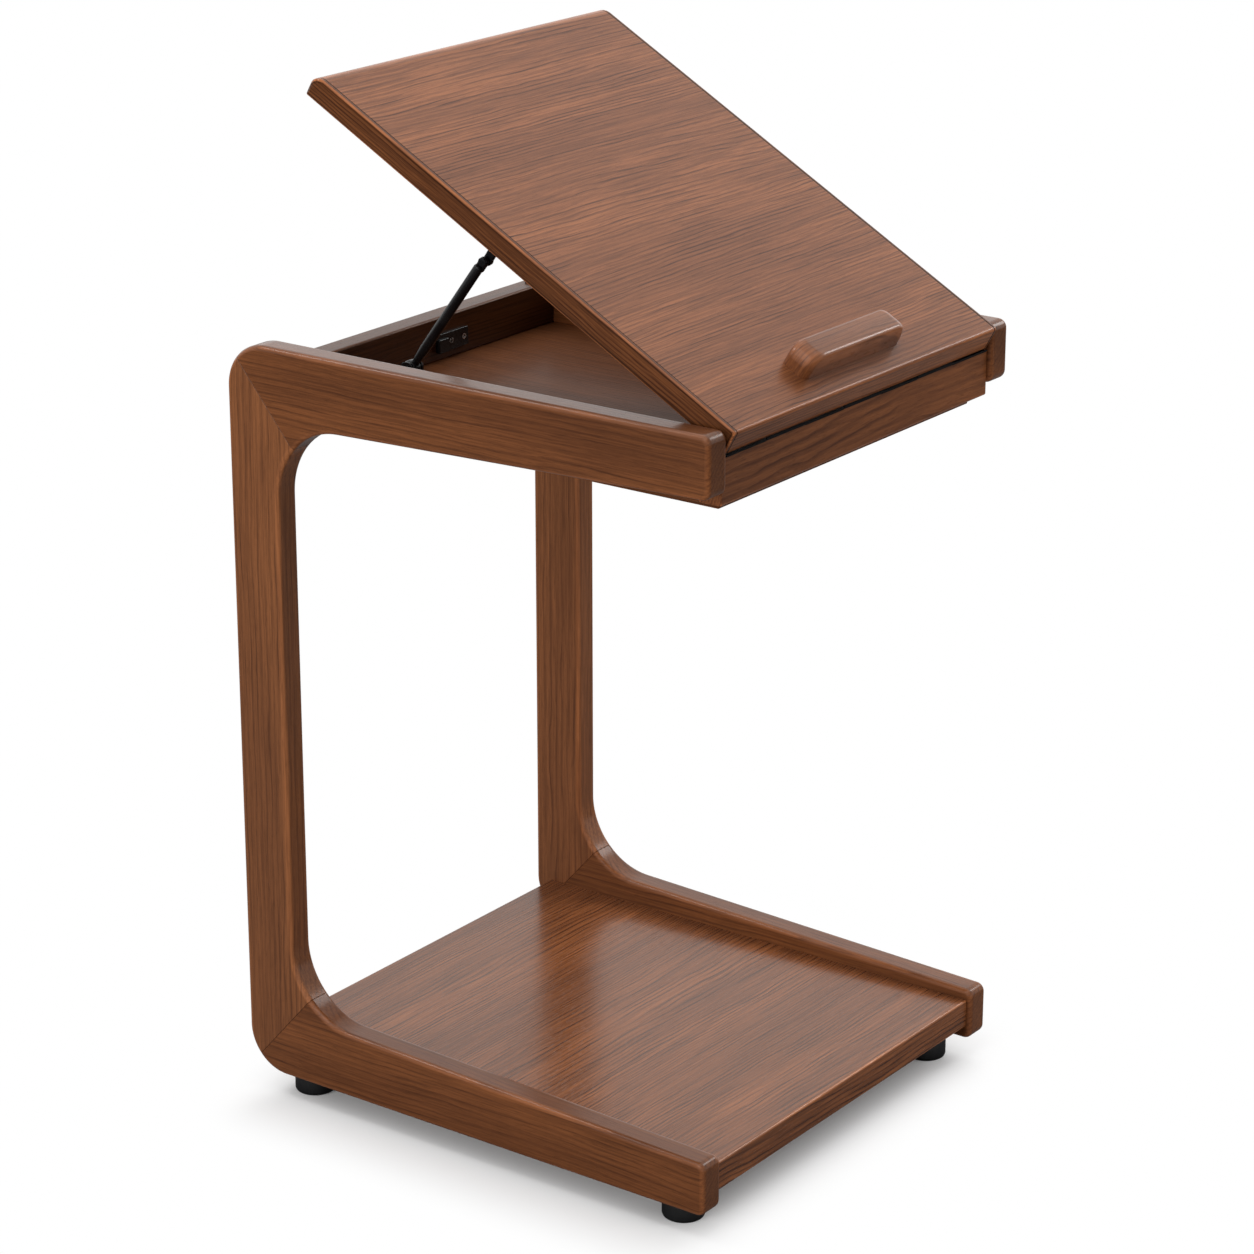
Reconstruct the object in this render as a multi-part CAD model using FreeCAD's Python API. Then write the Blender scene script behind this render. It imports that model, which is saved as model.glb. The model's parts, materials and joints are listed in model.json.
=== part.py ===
import FreeCAD, Part
import math
import os

from FreeCAD import Vector

# A C-shaped end table in millimetres. Two side frames carry a low shelf and a shallow tray,
# and a lid over the tray is hinged at the front and propped open by a folding stay.
# X runs from left to right, the front faces -Y, and Z is up from the floor.

# Side frames
WIDTH = 400.0
DEPTH = 443.0
HEIGHT = 620.0
FRAME_T = 23.0
LEG_W = 47.0
TOP_ARM_REAR = 56.0
TOP_ARM_FRONT = 47.0
BOTTOM_ARM_REAR = 53.0
BOTTOM_ARM_FRONT = 43.0
OUTER_R = 36.0
INNER_R = 60.0
END_R = 7.0
EDGE_R = 4.0

# Loose tenons: across the frame mitres, from the arms into shelf and tray, in the tray corners
# and under the book stop
MITRE_TENON = (8.0, 40.0, 36.0)
MITRE_TENON_PLACE = 0.78
MITRE_OVERRUN = (0.25, 0.7)
ARM_TENON = (26.0, 40.0, 8.0)
CORNER_TENON = (6.0, 28.0, 20.0)
STOP_TENON = (60.0, 6.0, 20.0)
TENON_SPREAD = 0.3

# Shelf, its battens and the feet
SHELF_T = 24.0
SHELF_TOP = 55.0
SHELF_FRONT_SETBACK = 4.0
SHELF_REAR_SETBACK = 16.0
PANEL_EDGE_R = 2.0
BATTEN_W = 42.0
FOOT_H = 20.0
FOOT_R = 16.5
FOOT_CHAMFER = 1.8
FOOT_WELL_R = 6.0
FOOT_WELL_DEPTH = 11.0
FOOT_SIDE_INSET = 29.0
FOOT_FRONT_INSET = 38.0
FOOT_REAR_INSET = 43.0

# Tray
TRAY_WALL_H = 35.5
TRAY_SIDE_T = 20.0
APRON_T = 20.0
APRON_SETBACK = 4.6
RAIL_T = 20.0
RAIL_SETBACK = 18.0
TRAY_FLOOR_T = 6.0
TRAY_FLOOR_MARGIN = 10.0
BUMPER_R = 5.0
BUMPER_INSET = 37.0
BUMPER_CLEAR = 0.3

# Lid
LID_OPEN = 29.0
LID_T = 19.0
LID_SIDE_CLEAR = 1.5
LID_REAR_SETBACK = 9.0
LID_REAR_R = 12.0
LID_FRONT_R = 2.5
LID_CORNER_R = 5.0
LID_EDGE_R = 1.6
LIPPING_W = 3.5
GROOVE_W = 1.2
STOP_L = 130.0
STOP_W = 23.0
STOP_H = 19.0
STOP_FRONT = 20.0
STOP_END_SLOPE = 2.0
STOP_R = 5.0
STOP_END_R = 8.0

# Continuous hinge between the apron and the lid
HINGE_GAP = 2.0
HINGE_END = 7.5
HINGE_KNUCKLES = 7
HINGE_KNUCKLE_GAP = 0.3
HINGE_STANDOFF = 1.6
HINGE_R = 1.2
HINGE_PIN_R = 0.6
HINGE_LEAF_W = 14.0
HINGE_LEAF_T = 0.7
LEAF_SCREW_ACROSS = 0.6
LEAF_SCREW_SPREAD = 0.4
RUNNING_CLEAR = 0.05

# Folding stay
STAY_INSET = 57.0
STAY_FROM_RAIL = 60.5
STAY_PIVOT_DROP = 8.7
STAY_LID_DROP = 11.5
STAY_FOLDED = 67.9
ELBOW_OPEN = 178.0
ELBOW_FOLDED = 4.0
ROD_R = 3.9
ROD_NECK_R = 2.9
ROD_NECK_L = 16.0
NECK_START = 5.3
EYE_R = 6.6
EYE_W = 8.0
EYE_CHAMFER = 1.3
TAB_T = 4.0
TAB_R = 4.0
TAB_L = 6.0
STAY_CLEAR = 0.4
BRACKET_T = 2.0
BRACKET_EAR_R = 6.0
BRACKET_EAR_FLARE = 2.0
FLOOR_BRACKET_L = 40.0
FLOOR_SCREW_SPREAD = 16.0
FLOOR_SCREW_DEPTH = 4.5
LID_BRACKET_L = 36.0
LID_BRACKET_W = 20.0
LID_SCREW_SPREAD = 10.8
LID_SCREW_ACROSS = 12.0
STAY_PIN_R = 2.5
STAY_HEAD_R = 3.6
STAY_HEAD_T = 1.2

# Catch on the back rail and its strike under the lid
CATCH_X = 3.0
CATCH_L = 39.0
CATCH_H = 15.0
CATCH_DROP = 13.5
CATCH_PLATE_T = 2.4
CATCH_SCREWS = (17.5, 33.5)
MAGNET_L = 12.0
MAGNET_H = 11.0
MAGNET_T = 4.5
STRIKE_T = 1.2
STRIKE_W = 10.0
STRIKE_FOOT_L = 14.0
STRIKE_GAP = 0.5
STRIKE_SCREW_BACK = 7.7

# Screws, as shank radius, head radius, head height and length
LEAF_SCREW = (1.1, 2.4, 1.4, 14.0)
FOOT_SCREW = (2.2, 4.5, 2.6, 32.0)
SCREW_CLEAR = 0.05

# Places worked out from the sizes above
FRONT = -DEPTH / 2
REAR = DEPTH / 2
INNER_X = WIDTH / 2 - FRAME_T
LEG_FRONT = REAR - LEG_W
SHELF_BOTTOM = SHELF_TOP - SHELF_T
SHELF_FRONT = FRONT + SHELF_FRONT_SETBACK
SHELF_REAR = REAR - SHELF_REAR_SETBACK
FOOT_X = WIDTH / 2 - FOOT_SIDE_INSET
FOOT_YS = {"front": FRONT + FOOT_FRONT_INSET, "rear": REAR - FOOT_REAR_INSET}
LID_UNDER = HEIGHT - LID_T
TRAY_TOP = LID_UNDER - HINGE_GAP
TRAY_BOTTOM = TRAY_TOP - TRAY_WALL_H
TRAY_MID = (TRAY_TOP + TRAY_BOTTOM) / 2
APRON_FACE = FRONT + APRON_SETBACK
APRON_BACK = APRON_FACE + APRON_T
RAIL_REAR = REAR - RAIL_SETBACK
RAIL_FACE = RAIL_REAR - RAIL_T
LID_REAR = REAR - LID_REAR_SETBACK
LID_HALF = INNER_X - LID_SIDE_CLEAR
PANEL_HALF = LID_HALF - LIPPING_W
HINGE_L = 2 * (LID_HALF - HINGE_END)
HINGE_Y = APRON_FACE - HINGE_STANDOFF
HINGE_Z = TRAY_TOP + HINGE_GAP / 2
STAY_X = -(INNER_X - TRAY_SIDE_T - STAY_INSET)


def box(x0, x1, y0, y1, z0, z1):
    return Part.makeBox(x1 - x0, y1 - y0, z1 - z0, Vector(x0, y0, z0))


def rounded_wire(corners, place):
    """Closed outline through corner points (a, b, radius), each rounded by a tangent arc."""
    starts, arcs = [], []
    count = len(corners)
    for i, (a, b, radius) in enumerate(corners):
        here = Vector(a, b, 0)
        to_last = (Vector(*corners[i - 1][:2], 0) - here).normalize()
        to_next = (Vector(*corners[(i + 1) % count][:2], 0) - here).normalize()
        half = to_last.getAngle(to_next) / 2
        cut = radius / math.tan(half)
        middle = (to_last + to_next).normalize() * (radius / math.sin(half) - radius)
        starts.append((here + to_last * cut, here + to_next * cut))
        arcs.append(here + middle)
    edges = []
    for i in range(count):
        before, after = starts[i]
        if corners[i][2] > 0:
            edges.append(Part.Arc(place(before), place(arcs[i]), place(after)).toShape())
        following = starts[(i + 1) % count][0]
        if after.distanceToPoint(following) > 1e-6:
            edges.append(Part.LineSegment(place(after), place(following)).toShape())
    return Part.Wire(edges)


def prism(corners, axis, start, end):
    """Rounded outline swept along X, Y or Z; its points are the other two coordinates in order."""
    place = {
        "X": lambda p: Vector(start, p.x, p.y),
        "Y": lambda p: Vector(p.x, start, p.y),
        "Z": lambda p: Vector(p.x, p.y, start),
    }[axis]
    sweep = {"X": Vector(1, 0, 0), "Y": Vector(0, 1, 0), "Z": Vector(0, 0, 1)}[axis]
    return Part.Face(rounded_wire(corners, place)).extrude(sweep * (end - start))


def along_x(radius, x0, x1, y, z):
    return Part.makeCylinder(radius, x1 - x0, Vector(x0, y, z), Vector(1, 0, 0))


def screw(kind, head, direction, clear=0.0):
    """Countersunk screw with the middle of its head at one point, driven along a direction."""
    shank_r, head_r, head_h, length = kind
    cone = Part.makeCone(head_r + clear, shank_r + clear, head_h, head, direction)
    shank_l = length - head_h + clear
    shank = Part.makeCylinder(shank_r + clear, shank_l, head + direction * head_h, direction)
    return cone.fuse(shank).removeSplitter()


def drill(pieces, kind, heads, direction):
    """Cut the holes of a set of equal screws through the named pieces, and give the screws."""
    for head in heads:
        hole = screw(kind, head, direction, SCREW_CLEAR)
        for name in pieces:
            if parts[name].distToShape(hole)[0] < 1e-6:
                parts[name] = parts[name].cut(hole)
    return [screw(kind, head, direction) for head in heads]


def mirrored(shape):
    return shape.mirror(Vector(0, 0, 0), Vector(1, 0, 0))


def opened(shape):
    """Turn a piece of the lid about the hinge from closed to the open rest pose."""
    turned = shape.copy()
    turned.rotate(Vector(0, HINGE_Y, HINGE_Z), Vector(1, 0, 0), LID_OPEN)
    return turned


parts = {}
HANDS = (("left", -1), ("right", 1))
UP = Vector(0, 0, 1)
DOWN = Vector(0, 0, -1)


# Side frames: one C outline with rounded edges, sawn at the two mitres into leg and arms
def mitre_cut(outer, inner, x0, x1):
    """Everything in front of the mitre that runs from the outer to the inner corner of the C."""
    run = inner - outer
    near = outer - run * MITRE_OVERRUN[0]
    far = inner + run * MITRE_OVERRUN[1]
    points = [near, far, Vector(FRONT - LEG_W, far.y, 0), Vector(FRONT - LEG_W, near.y, 0)]
    return prism([(p.x, p.y, 0) for p in points], "X", x0, x1)


def mitre_tenon(outer, inner, x):
    """Flat loose tenon across the middle of a mitre, square to the joint."""
    thick, wide, long = MITRE_TENON
    run = inner - outer
    centre = outer + run * MITRE_TENON_PLACE
    tenon = box(-thick / 2, thick / 2, -wide / 2, wide / 2, -long / 2, long / 2)
    tenon.rotate(Vector(0, 0, 0), Vector(1, 0, 0), math.degrees(math.atan2(run.y, run.x)))
    tenon.translate(Vector(x, centre.x, centre.y))
    return tenon


def side_frame():
    """Left-hand frame: leg, top arm, bottom arm and the tenons that join them."""
    x0, x1 = -WIDTH / 2, -INNER_X
    outline = [
        (REAR, FOOT_H, OUTER_R),
        (REAR, HEIGHT, OUTER_R),
        (FRONT, HEIGHT, END_R),
        (FRONT, HEIGHT - TOP_ARM_FRONT, END_R),
        (LEG_FRONT, HEIGHT - TOP_ARM_REAR, INNER_R),
        (LEG_FRONT, FOOT_H + BOTTOM_ARM_REAR, INNER_R),
        (FRONT, FOOT_H + BOTTOM_ARM_FRONT, END_R),
        (FRONT, FOOT_H, END_R),
    ]
    blank = prism(outline, "X", x0, x1)
    flat = [e for e in blank.Edges if e.BoundBox.XLength < 1e-6]
    blank = blank.makeFillet(EDGE_R, flat)
    mitres = {
        "top": (Vector(REAR, HEIGHT, 0), Vector(LEG_FRONT, HEIGHT - TOP_ARM_REAR, 0)),
        "bottom": (Vector(REAR, FOOT_H, 0), Vector(LEG_FRONT, FOOT_H + BOTTOM_ARM_REAR, 0)),
    }
    leg = blank
    pieces, tenons = {}, []
    for name, (outer, inner) in mitres.items():
        front = mitre_cut(outer, inner, x0 - EDGE_R, x1 + EDGE_R)
        tenon = mitre_tenon(outer, inner, (x0 + x1) / 2)
        pieces[name + "_arm"] = blank.common(front).cut(tenon)
        leg = leg.cut(front).cut(tenon)
        tenons.append(tenon)
    pieces["leg"] = leg
    return pieces, tenons


frame_pieces, frame_tenons = side_frame()
for name, shape in frame_pieces.items():
    parts["left_" + name] = shape
    parts["right_" + name] = mirrored(shape)
parts["mitre_tenons"] = Part.makeCompound(frame_tenons + [mirrored(t) for t in frame_tenons])


# Shelf between the bottom arms
shelf_side = [
    (SHELF_FRONT, SHELF_BOTTOM, PANEL_EDGE_R),
    (SHELF_REAR, SHELF_BOTTOM, PANEL_EDGE_R),
    (SHELF_REAR, SHELF_TOP, PANEL_EDGE_R),
    (SHELF_FRONT, SHELF_TOP, PANEL_EDGE_R),
]
parts["shelf"] = prism(shelf_side, "X", -INNER_X, INNER_X)


def arm_tenons(board, arm, side, ys, z):
    """Flat loose tenons between the end of a board and the inner face of an arm, cut into both."""
    across, wide, thick = ARM_TENON
    x = side * INNER_X
    tenons = []
    for y in ys:
        tenon = box(x - across / 2, x + across / 2, y - wide / 2, y + wide / 2, z - thick / 2, z + thick / 2)
        parts[arm] = parts[arm].cut(tenon)
        parts[board] = parts[board].cut(tenon)
        tenons.append(tenon)
    return tenons


foot_mid = (FOOT_YS["front"] + FOOT_YS["rear"]) / 2
foot_span = FOOT_YS["rear"] - FOOT_YS["front"]
shelf_ys = [foot_mid + step * foot_span * TENON_SPREAD for step in (-1, 0, 1)]
shelf_mid = (SHELF_TOP + SHELF_BOTTOM) / 2
shelf_tenons = []
for hand, side in HANDS:
    shelf_tenons += arm_tenons("shelf", hand + "_bottom_arm", side, shelf_ys, shelf_mid)
parts["shelf_tenons"] = Part.makeCompound(shelf_tenons)


# Battens under the shelf, level with the bottom of the arms, and the four feet
foot_screws = []
for end, y in FOOT_YS.items():
    batten = end + "_batten"
    parts[batten] = box(-INNER_X, INNER_X, y - BATTEN_W / 2, y + BATTEN_W / 2, FOOT_H, SHELF_BOTTOM)
    for hand, side in HANDS:
        x = side * FOOT_X
        foot = Part.makeCylinder(FOOT_R, FOOT_H, Vector(x, y, 0))
        rim = [e for e in foot.Edges if e.BoundBox.ZMax < 1e-6]
        foot = foot.makeChamfer(FOOT_CHAMFER, rim)
        well = Part.makeCylinder(FOOT_WELL_R, FOOT_WELL_DEPTH, Vector(x, y, 0))
        name = "foot_%s_%s" % (end, hand)
        parts[name] = foot.cut(well)
        heads = [Vector(x, y, FOOT_WELL_DEPTH)]
        foot_screws += drill([name, batten, "shelf"], FOOT_SCREW, heads, UP)
parts["foot_screws"] = Part.makeCompound(foot_screws)


# Tray: apron and back rail between the arms, two sides against the arms, floor from below
def tray_board(y0, y1):
    side = [
        (y0, TRAY_BOTTOM, PANEL_EDGE_R),
        (y1, TRAY_BOTTOM, PANEL_EDGE_R),
        (y1, TRAY_TOP, PANEL_EDGE_R),
        (y0, TRAY_TOP, PANEL_EDGE_R),
    ]
    return prism(side, "X", -INNER_X, INNER_X)


parts["front_apron"] = tray_board(APRON_FACE, APRON_BACK)
parts["back_rail"] = tray_board(RAIL_FACE, RAIL_REAR)
inside_mid = (APRON_BACK + RAIL_FACE) / 2
inside_span = RAIL_FACE - APRON_BACK
side_ys = [inside_mid + step * inside_span * TENON_SPREAD for step in (-1, 1)]
corner_tenons, side_tenons = [], []
for hand, side in HANDS:
    name = "tray_side_" + hand
    x0, x1 = sorted((side * INNER_X, side * (INNER_X - TRAY_SIDE_T)))
    parts[name] = box(x0, x1, APRON_BACK, RAIL_FACE, TRAY_BOTTOM, TRAY_TOP)
    side_tenons += arm_tenons(name, hand + "_top_arm", side, side_ys, TRAY_MID)
    for board, y in (("front_apron", APRON_BACK), ("back_rail", RAIL_FACE)):
        thick, across, tall = CORNER_TENON
        x = (x0 + x1) / 2
        z0 = TRAY_MID - tall / 2
        tenon = box(x - thick / 2, x + thick / 2, y - across / 2, y + across / 2, z0, z0 + tall)
        corner_tenons.append(tenon)
        parts[board] = parts[board].cut(tenon)
        parts[name] = parts[name].cut(tenon)
parts["tray_corner_tenons"] = Part.makeCompound(corner_tenons)
parts["tray_side_tenons"] = Part.makeCompound(side_tenons)

floor_x = INNER_X - TRAY_FLOOR_MARGIN
floor_y0 = APRON_FACE + TRAY_FLOOR_MARGIN
floor_y1 = RAIL_REAR - TRAY_FLOOR_MARGIN
parts["tray_floor"] = box(-floor_x, floor_x, floor_y0, floor_y1, TRAY_BOTTOM - TRAY_FLOOR_T, TRAY_BOTTOM)

bumper_x = INNER_X - BUMPER_INSET
bumper_y = (RAIL_FACE + RAIL_REAR) / 2
bumper_h = HINGE_GAP - BUMPER_CLEAR
bumpers = [
    Part.makeCylinder(BUMPER_R, bumper_h, Vector(side * bumper_x, bumper_y, TRAY_TOP))
    for hand, side in HANDS
]
parts["lid_bumpers"] = Part.makeCompound(bumpers)


# Lid, drawn closed: a panel between two lippings, with a grooved line along each joint
lid_side = [
    (APRON_FACE, LID_UNDER, 0),
    (LID_REAR, LID_UNDER, 0),
    (LID_REAR, HEIGHT, LID_REAR_R),
    (APRON_FACE, HEIGHT, LID_FRONT_R),
]
lid_plan = [
    (-LID_HALF, APRON_FACE, 0),
    (LID_HALF, APRON_FACE, 0),
    (LID_HALF, LID_REAR, LID_CORNER_R),
    (-LID_HALF, LID_REAR, LID_CORNER_R),
]
lid_end = [
    (-LID_HALF, LID_UNDER, 0),
    (LID_HALF, LID_UNDER, 0),
    (LID_HALF, HEIGHT, LID_EDGE_R),
    (-LID_HALF, HEIGHT, LID_EDGE_R),
]
lid_blank = prism(lid_side, "X", -LID_HALF, LID_HALF)
lid_blank = lid_blank.common(prism(lid_plan, "Z", LID_UNDER, HEIGHT))
lid_blank = lid_blank.common(prism(lid_end, "Y", APRON_FACE, LID_REAR))
for side in (-1, 1):
    x = side * PANEL_HALF
    groove = [
        (x - GROOVE_W / 2, HEIGHT, 0),
        (x, HEIGHT - GROOVE_W / 2, 0),
        (x + GROOVE_W / 2, HEIGHT, 0),
    ]
    lid_blank = lid_blank.cut(prism(groove, "Y", APRON_FACE, LID_REAR))


def lid_slice(x0, x1):
    return lid_blank.common(box(x0, x1, APRON_FACE, LID_REAR, LID_UNDER, HEIGHT))


parts["lid_panel"] = lid_slice(-PANEL_HALF, PANEL_HALF)
parts["lid_lipping_left"] = lid_slice(-LID_HALF, -PANEL_HALF)
parts["lid_lipping_right"] = lid_slice(PANEL_HALF, LID_HALF)


# Book stop on the lid: its ends lean in a little and its edges are rounded
stop_y0 = APRON_FACE + STOP_FRONT
stop_y1 = stop_y0 + STOP_W
stop_top = HEIGHT + STOP_H
stop_front_view = [
    (-STOP_L / 2, HEIGHT, 0),
    (STOP_L / 2, HEIGHT, 0),
    (STOP_L / 2 - STOP_END_SLOPE, stop_top, STOP_END_R),
    (STOP_END_SLOPE - STOP_L / 2, stop_top, STOP_END_R),
]
stop_end_view = [
    (stop_y0, HEIGHT, 0),
    (stop_y1, HEIGHT, 0),
    (stop_y1, stop_top, STOP_R),
    (stop_y0, stop_top, STOP_R),
]
stop_plan = [
    (-STOP_L / 2, stop_y0, STOP_R),
    (STOP_L / 2, stop_y0, STOP_R),
    (STOP_L / 2, stop_y1, STOP_R),
    (-STOP_L / 2, stop_y1, STOP_R),
]
book_stop = prism(stop_front_view, "Y", stop_y0, stop_y1)
book_stop = book_stop.common(prism(stop_end_view, "X", -STOP_L / 2, STOP_L / 2))
parts["book_stop"] = book_stop.common(prism(stop_plan, "Z", HEIGHT, stop_top))
long, thick, tall = STOP_TENON
stop_mid = (stop_y0 + stop_y1) / 2
tenon = Part.makeBox(long, thick, tall, Vector(-long / 2, stop_mid - thick / 2, HEIGHT - tall / 2))
for name in ("lid_panel", "book_stop"):
    parts[name] = parts[name].cut(tenon)
parts["book_stop_tenon"] = tenon


# Continuous hinge: knuckles of the two leaves take turns along one pin
def hinge_leaf(first, z0):
    """One leaf with every second knuckle, its plate from z0 up by the leaf's thickness."""
    z1 = z0 + HINGE_LEAF_T
    leaf = box(-HINGE_L / 2, HINGE_L / 2, APRON_FACE, APRON_FACE + HINGE_LEAF_W, z0, z1)
    pitch = HINGE_L / HINGE_KNUCKLES
    for i in range(first, HINGE_KNUCKLES, 2):
        x0 = -HINGE_L / 2 + i * pitch + HINGE_KNUCKLE_GAP / 2
        x1 = x0 + pitch - HINGE_KNUCKLE_GAP
        leaf = leaf.fuse(along_x(HINGE_R, x0, x1, HINGE_Y, HINGE_Z))
        leaf = leaf.fuse(box(x0, x1, HINGE_Y, APRON_FACE, z0, z1))
    bore = along_x(HINGE_PIN_R + RUNNING_CLEAR, -HINGE_L / 2, HINGE_L / 2, HINGE_Y, HINGE_Z)
    return leaf.cut(bore).removeSplitter()


parts["hinge_apron_leaf"] = hinge_leaf(0, TRAY_TOP)
parts["hinge_lid_leaf"] = hinge_leaf(1, LID_UNDER - HINGE_LEAF_T)
parts["hinge_pin"] = along_x(HINGE_PIN_R, -HINGE_L / 2, HINGE_L / 2, HINGE_Y, HINGE_Z)
leaf_y = APRON_FACE + HINGE_LEAF_W * LEAF_SCREW_ACROSS
leaf_xs = [step * HINGE_L * LEAF_SCREW_SPREAD for step in (-1, 0, 1)]
apron_heads = [Vector(x, leaf_y, TRAY_TOP + HINGE_LEAF_T) for x in leaf_xs]
lid_heads = [Vector(x, leaf_y, LID_UNDER - HINGE_LEAF_T) for x in leaf_xs]
apron_screws = drill(["hinge_apron_leaf", "front_apron"], LEAF_SCREW, apron_heads, DOWN)
lid_screws = drill(["hinge_lid_leaf", "lid_panel"], LEAF_SCREW, lid_heads, UP)
parts["hinge_apron_screws"] = Part.makeCompound(apron_screws)
parts["hinge_lid_screws"] = Part.makeCompound(lid_screws)


# Folding stay. In the YZ plane, pivot B stands on the tray floor and pivot L hangs from the lid.
# The arm's length and the link's follow from the distance BL when folded and when open, and from
# the angle between arm and link at the elbow in each.
def turned(point, degrees):
    """Point of the YZ plane turned about the hinge; positive lifts the rear of the lid."""
    c, s = math.cos(math.radians(degrees)), math.sin(math.radians(degrees))
    y, z = point[0] - HINGE_Y, point[1] - HINGE_Z
    return (HINGE_Y + y * c - z * s, HINGE_Z + y * s + z * c)


pivot_b = (RAIL_FACE - STAY_FROM_RAIL, HINGE_Z - STAY_PIVOT_DROP)
pivot_l_closed = (pivot_b[0] - STAY_FOLDED, HINGE_Z - STAY_LID_DROP)
pivot_l = turned(pivot_l_closed, LID_OPEN)
span_closed = math.dist(pivot_b, pivot_l_closed)
span_open = math.dist(pivot_b, pivot_l)
cos_open = math.cos(math.radians(ELBOW_OPEN))
cos_folded = math.cos(math.radians(ELBOW_FOLDED))
twice_product = (span_open ** 2 - span_closed ** 2) / (cos_folded - cos_open)
sum_of_squares = span_open ** 2 + twice_product * cos_open
length_sum = math.sqrt(sum_of_squares + twice_product)
length_gap = math.sqrt(sum_of_squares - twice_product)
ARM_L = (length_sum + length_gap) / 2
LINK_L = (length_sum - length_gap) / 2


def arm_angle(target):
    """Direction from B to the elbow, with the elbow on the front side of the line from B to L."""
    span = math.dist(pivot_b, target)
    bend = math.acos((ARM_L ** 2 + span ** 2 - LINK_L ** 2) / (2 * ARM_L * span))
    return math.atan2(target[1] - pivot_b[1], target[0] - pivot_b[0]) + bend


open_angle = arm_angle(pivot_l)
elbow = (pivot_b[0] + ARM_L * math.cos(open_angle), pivot_b[1] + ARM_L * math.sin(open_angle))


def plate(p, q, radius, x0, x1):
    """Flat bar with round ends about two points of the YZ plane, from x0 to x1."""
    run = Vector(q[0] - p[0], q[1] - p[1], 0).normalize()
    side = Vector(-run.y, run.x, 0) * radius
    back, fore = Vector(p[0], p[1], 0), Vector(q[0], q[1], 0)
    points = [back + side, back - run * radius, back - side, fore - side, fore + run * radius, fore + side]
    at = [Vector(x0, v.x, v.y) for v in points]
    edges = [
        Part.Arc(at[0], at[1], at[2]).toShape(),
        Part.LineSegment(at[2], at[3]).toShape(),
        Part.Arc(at[3], at[4], at[5]).toShape(),
        Part.LineSegment(at[5], at[0]).toShape(),
    ]
    return Part.Face(Part.Wire(edges)).extrude(Vector(x1 - x0, 0, 0))


def stay_arm(x):
    """Round rod from an eye at B to a flat tab at the elbow, with a rivet head."""
    base = Vector(x, pivot_b[0], pivot_b[1])
    run = Vector(0, math.cos(open_angle), math.sin(open_angle))
    eye = along_x(EYE_R, x - EYE_W / 2, x + EYE_W / 2, *pivot_b)
    eye = eye.makeChamfer(EYE_CHAMFER, [e for e in eye.Edges if e.BoundBox.XLength < 1e-6])
    neck = Part.makeCone(ROD_NECK_R, ROD_R, ROD_NECK_L, base + run * NECK_START, run)
    rod_start = NECK_START + ROD_NECK_L
    rod = Part.makeCylinder(ROD_R, ARM_L - TAB_L - rod_start, base + run * rod_start, run)
    tab_back = base + run * (ARM_L - TAB_L)
    tab = plate((tab_back.y, tab_back.z), elbow, TAB_R, x, x + TAB_T)
    head = along_x(STAY_HEAD_R, x - STAY_HEAD_T, x, *elbow)
    arm = eye.fuse([neck, rod, tab, head])
    bore = along_x(STAY_PIN_R + RUNNING_CLEAR, x - EYE_W, x + EYE_W, *pivot_b)
    return arm.cut(bore).removeSplitter()


def stay_link(x):
    """Flat link from the elbow to L, beside the rod, with a rivet head at the elbow."""
    x0 = x + ROD_R + STAY_CLEAR
    link = plate(elbow, pivot_l, TAB_R, x0, x0 + TAB_T)
    link = link.fuse(along_x(STAY_HEAD_R, x0 + TAB_T, x0 + TAB_T + STAY_HEAD_T, *elbow))
    bore = along_x(STAY_PIN_R + RUNNING_CLEAR, x0, x0 + TAB_T, *pivot_l)
    return link.cut(bore).removeSplitter()


def ear(pivot, base_z, x0, x1):
    """Upright ear: a foot that flares a little on both sides, tapering to a round end about the pivot."""
    corners = [(pivot[0] + side * BRACKET_EAR_FLARE, base_z) for side in (-1, 1)]
    foot = plate(*corners, BRACKET_EAR_R, x0, x1)
    arms = [plate(corner, pivot, BRACKET_EAR_R, x0, x1) for corner in corners]
    return foot.fuse(arms).removeSplitter()


def floor_bracket(x):
    """Bent plate on the tray floor with two ears about the eye of the arm."""
    reach = EYE_W / 2 + STAY_CLEAR + BRACKET_T
    y, z = pivot_b
    base = box(x - reach, x + reach, y - FLOOR_BRACKET_L / 2, y + FLOOR_BRACKET_L / 2, TRAY_BOTTOM,
               TRAY_BOTTOM + BRACKET_T)
    above = box(x - reach, x + reach, y - DEPTH, y + DEPTH, TRAY_BOTTOM, HEIGHT)
    ears = [
        ear(pivot_b, TRAY_BOTTOM + BRACKET_T, x0, x0 + BRACKET_T)
        for x0 in (x - reach, x + reach - BRACKET_T)
    ]
    bracket = base.fuse([e.common(above) for e in ears])
    bore = along_x(STAY_PIN_R + RUNNING_CLEAR, x - reach, x + reach, y, z)
    return bracket.cut(bore).removeSplitter()


def lid_bracket(x):
    """Angle plate under the closed lid: one ear beside the link, the foot turned inwards."""
    x0 = x + ROD_R + TAB_T + 2 * STAY_CLEAR
    y = pivot_l_closed[0]
    foot = box(x0, x0 + LID_BRACKET_W, y - LID_BRACKET_L / 2, y + LID_BRACKET_L / 2,
               LID_UNDER - BRACKET_T, LID_UNDER)
    below = box(x0, x0 + BRACKET_T, y - DEPTH, y + DEPTH, TRAY_BOTTOM, LID_UNDER)
    one_ear = ear(pivot_l_closed, LID_UNDER - BRACKET_T, x0, x0 + BRACKET_T)
    bore = along_x(STAY_PIN_R + RUNNING_CLEAR, x0, x0 + BRACKET_T, *pivot_l_closed)
    return foot.fuse(one_ear.common(below)).cut(bore).removeSplitter()


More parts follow.
